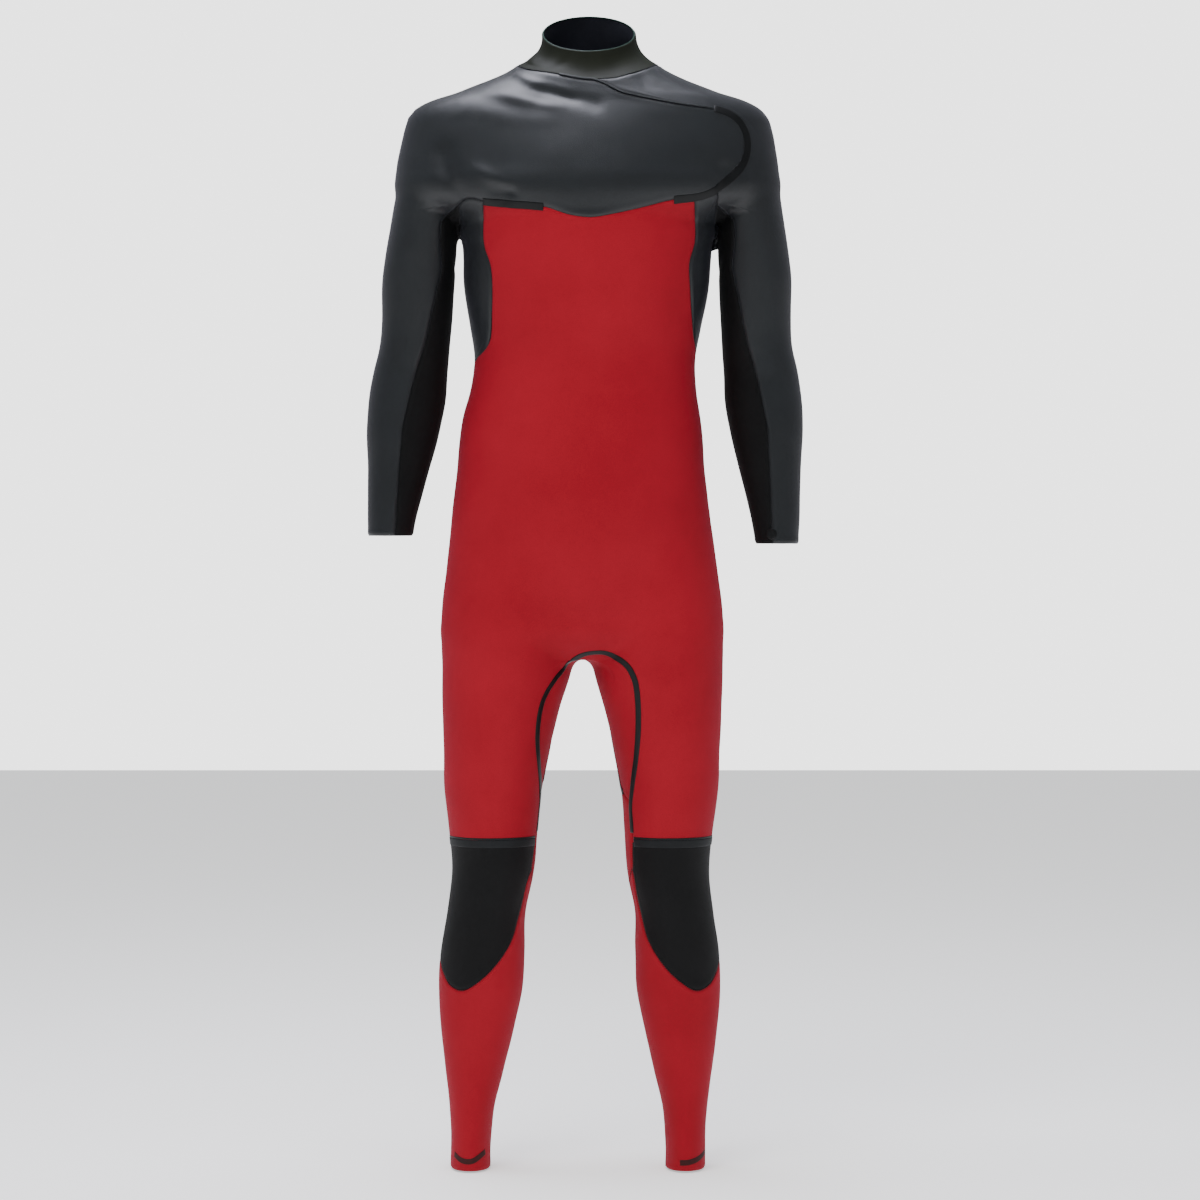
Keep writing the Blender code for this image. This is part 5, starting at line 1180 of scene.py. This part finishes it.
def makeTapes():
    s, tape = seams, rubbers["tapeRubber"]
    first = nearTo(s["flapEdge"], *flapCorners["tape"])
    line = join(s["flapEdge"][first:], rev(s["chestLeft"]), rev(s["chestRight"])[:8])
    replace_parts(ribbon("tape_shoulder_edge", smoothLine(line, 5), *tapeSizes["shoulder"], tape), "tape_shoulder")
    line = s["chestRight"][: 1 + int(np.argmin(np.abs(s["chestRight"][:, 0] - tapeEnds["chestX"])))]
    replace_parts(ribbon("tape_chest_right", smoothLine(line), *tapeSizes["chest"], tape), "tape_chest")
    legs = [line[line[:, 2] > tapeEnds["gussetZ"]] for line in (s["innerUpperR"], s["innerUpperL"])]
    line = join(rev(legs[0]), s["gussetFront"], legs[1])
    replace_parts(ribbon("tape_gusset_front", smoothLine(line, 5), *tapeSizes["gusset"], tape), "tape_gusset")
    ribbon("tape_gusset_back", smoothLine(s["gussetBack"][6:-6], 5), *tapeSizes["gusset"], tape)
    for _, side, word in hands:
        line = s["padTop" + side]
        far = along(line)
        line = line[(far > tapeEnds["bandEnd"]) & (far < far[-1] - tapeEnds["bandEnd"])]
        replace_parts(ribbon("band_knee_" + word, line, *tapeSizes["band"], cloth["band"]), "knee_band_" + word)
        ribbon("line_above_band_" + word, settle(line + [0, 0, tapeEnds["lineAbove"]]), *tapeSizes["line"], tape)
    line = join(s["neckRight"][-16:], s["flapEdge"][: first + 1])
    ribbon("piping_flap_edge", smoothLine(line, 5), *tapeSizes["piping"], cloth["charcoal"])


makeTapes()
print("tapes done")

# Short dark grip strips near the ankle hems: front view, x and height in mm.
gripStrips = {"right": [(-169, -1364), (-160, -1370), (-147, -1371), (-130, -1361)],
              "left": [(116, -1373), (128, -1372), (141, -1368), (151, -1361)]}
for word, points in gripStrips.items():
    ribbon("grip_strip_" + word, seenSeam(points), *tapeSizes["grip"], rubbers["wornPrint"])

patchShape = {"height": -580 * mm, "radius": 7 * mm, "thick": 0.9 * mm, "around": 48,
              "rings": [0, 0.4, 0.75, 0.9, 0.97, 1.0], "proud": [1, 1, 1, 0.85, 0.5, 0]}


def makePatch():
    # A round tab where the left sleeve's front seam ends: rings on the form, lifted by a rounded profile.
    c = patchShape
    middle = settle(atHeight(seams["sleeveFrontL"][10:], np.array([c["height"]])))
    out = slopeOf(middle)[0]
    across = unit(np.cross(out, [0.0, 0.0, 1.0]))
    turn = np.linspace(0, 2 * math.pi, c["around"], endpoint=False)[:, None]
    ring = np.cos(turn) * across + np.sin(turn) * np.cross(across, out)
    grid = (middle[None] + ring[None] * (np.array(c["rings"])[:, None, None] * c["radius"])).reshape(-1, 3)
    skin = settle(grid, 3)
    normal = slopeOf(skin)
    outer = skin + normal * (np.repeat(c["proud"], c["around"])[:, None] * c["thick"] + laid["lift"])
    index = np.arange(len(grid)).reshape(-1, c["around"])
    index[0] = 0
    quads = quadsOf(np.pad(index, ((0, 0), (0, 1)), mode="wrap"))
    quads = turnedTo(outer, quads, out)
    used, quads = np.unique(quads, return_inverse=True)
    quads = quads.reshape(-1, 4)
    inner = (skin - normal * laid["sunk"])[used]
    uv = (grid[used] - middle)[:, [0, 2]][quads.reshape(-1)]
    thing = closedMesh("cuff_tab", outer[used], inner, quads, rimOf(quads), uv, (rubbers["tapeRubber"],))
    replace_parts(thing, "cuff_patch")


makePatch()

stitchShape = {"pitch": 3.0 * mm, "half": 1.5 * mm, "thread": 0.28 * mm, "slant": 0.9 * mm, "sides": 4,
               "across": [-1, -0.75, 0, 0.75, 1], "height": [-1.5, -0.35, -0.15, -0.35, -1.5]}


def stitches(name, lines, material):
    # Slanted threads over a seam: a small bent tube, repeated at an even pitch and turned to the cloth.
    c, frames = stitchShape, []
    for line in lines:
        far = along(line)[-1]
        count = max(2, int(far / c["pitch"]))
        s = (np.arange(count) + 0.5) / count
        p = settle(at(line, s))
        tangent = unit(settle(at(line, np.minimum(s + 0.5 * mm / far, 1))) - p)
        out = slopeOf(p)
        frames.append((p - out * pressed(p)[:, None], unit(np.cross(out, tangent)), tangent, out))
    p, side, tangent, out = (np.vstack(v)[:, None, None] for v in zip(*frames))
    a = np.array(c["across"])[None, :, None, None]
    h = np.array(c["height"])[None, :, None, None] * mm
    turn = np.linspace(0, 2 * math.pi, c["sides"], endpoint=False)[None, None, :, None]
    points = (p + side * (a * c["half"]) + tangent * (a * c["slant"] + np.cos(turn) * c["thread"])
              + out * (h + np.sin(turn) * c["thread"]))
    n, rows, cols = points.shape[:3]
    index = np.arange(rows * cols).reshape(rows, cols)
    wrap = np.roll(index, -1, axis=1)
    quads = np.stack([index[:-1], index[1:], wrap[1:], wrap[:-1]], axis=-1).reshape(-1, 4)
    quads = np.vstack([quads, index[:1, ::-1], index[-1:]])
    first = points[0].reshape(-1, 3)
    quads = turnedTo(first, quads, first[quads].mean(axis=1) - first.mean(axis=0))
    faces = (quads[None] + (np.arange(n) * rows * cols)[:, None, None]).reshape(-1, 4)
    meshPiece(name, points.reshape(-1, 3), faces, materials=(material,))
    print(f"{name}: {n} stitches")


def makeStitches():
    dark = "neckRight neckFront neckLeft neckBack neckRear pitL pitR".split()
    red = ["yokeFoot"]
    for side in "LR":
        dark += sidesOf("sleeveFront sleeveBack raglan corner pitLine sideFront sideBack padFoot innerPad", side)
        red += sidesOf("sideUpper sidePad sideShin innerShin", side)
    stitches("stitches_dark", [seams[n] for n in dark], rubbers["thread"])
    stitches("stitches_red", [seams[n] for n in red], rubbers["redThread"])


makeStitches()

photoView = {"distance": 4.6, "height": -0.62, "pixelsPerMetre": 787.4, "middle": (588, 600), "originRow": 78,
             "size": 1200, "sensor": 36}
studio = {"floorHalf": 9.0, "floorBelow": 2 * mm, "skyPower": 0.6, "skyDegrees": 120}
paperLook = {"Base Color": (0.93, 0.93, 0.93, 1), "Roughness": 0.9, "Emission Color": (1.0, 1.0, 1.0, 1),
             "Emission Strength": 0.6}
# Where each lamp is, its size, power and colour, and whether it makes glints.
lamps = {
    "key": ((-0.7, -1.9, 1.6), 1.6, 62, (1.0, 0.99, 0.97), False),
    "fill": ((1.9, -2.6, 0.9), 2.0, 16, (0.97, 0.98, 1.0), False),
    "overhead": ((-0.3, 0.15, 1.9), 1.3, 88, (0.88, 0.89, 1.0), True),
}
farStudio = {"Background": ((0.93, 0.95, 1.0, 1), 0.34), "seen": ((1.0, 1.0, 1.0, 1), 2.9)}


def placed(name, data):
    thing = bpy.data.objects.new(name, data)
    bpy.context.scene.collection.objects.link(thing)
    return thing


def makeStage():
    # Pale floor, soft lights and a camera that gives the photograph's framing.
    low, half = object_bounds()[0][2] - studio["floorBelow"], studio["floorHalf"]
    mesh = bpy.data.meshes.new("studio_floor")
    corners = [(-half, -half, low), (half, -half, low), (half, half, low), (-half, half, low)]
    mesh.from_pydata(corners, [], [(0, 1, 2, 3)])
    paper = bpy.data.materials.new("paper")
    paper.use_nodes = True
    for name, value in paperLook.items():
        paper.node_tree.nodes["Principled BSDF"].inputs[name].default_value = value
    mesh.materials.append(paper)
    placed("studio_floor", mesh)
    for name, (place, size, power, colour, glints) in lamps.items():
        lamp = bpy.data.lights.new(name, "AREA")
        lamp.size, lamp.energy, lamp.color = size, power, colour
        thing = placed(name, lamp)
        thing.location, thing.visible_glossy = place, glints
        aim = np.array([0.0, 0.0, -0.5]) - np.array(place)
        thing.rotation_euler = (math.atan2(math.hypot(aim[0], aim[1]), -aim[2]), 0, math.atan2(-aim[0], aim[1]))
    sky = bpy.data.lights.new("sky", "SUN")
    sky.energy, sky.angle = studio["skyPower"], math.radians(studio["skyDegrees"])
    placed("sky", sky).visible_glossy = False
    # The far studio is pale to the camera, and lights the suit softly from all round.
    world = bpy.data.worlds.new("studio")
    world.use_nodes = True
    tree = world.node_tree
    tree.nodes.new("ShaderNodeBackground").name = "seen"
    path, mix = tree.nodes.new("ShaderNodeLightPath"), tree.nodes.new("ShaderNodeMixShader")
    tree.links.new(path.outputs["Is Camera Ray"], mix.inputs[0])
    for k, (name, (colour, power)) in enumerate(farStudio.items()):
        far = tree.nodes[name]
        far.inputs["Color"].default_value, far.inputs["Strength"].default_value = colour, power
        tree.links.new(far.outputs[0], mix.inputs[1 + k])
    tree.links.new(mix.outputs[0], tree.nodes["World Output"].inputs[0])
    bpy.context.scene.world = world
    v = photoView
    camera = bpy.data.cameras.new("camera")
    camera.sensor_width, camera.lens = v["sensor"], v["sensor"] * v["distance"] * v["pixelsPerMetre"] / v["size"]
    # The picture's middle column is 12 pixels right of the suit's middle line.
    camera.shift_x = (v["size"] / 2 - v["middle"][0]) / v["size"]
    camera.shift_y = (v["originRow"] - v["height"] * v["pixelsPerMetre"] - v["middle"][1]) / v["size"]
    camera.dof.use_dof = False
    thing = placed("camera", camera)
    thing.location, thing.rotation_euler = (0, -v["distance"], v["height"]), (math.pi / 2, 0, 0)
    bpy.context.scene.camera = thing


makeStage()
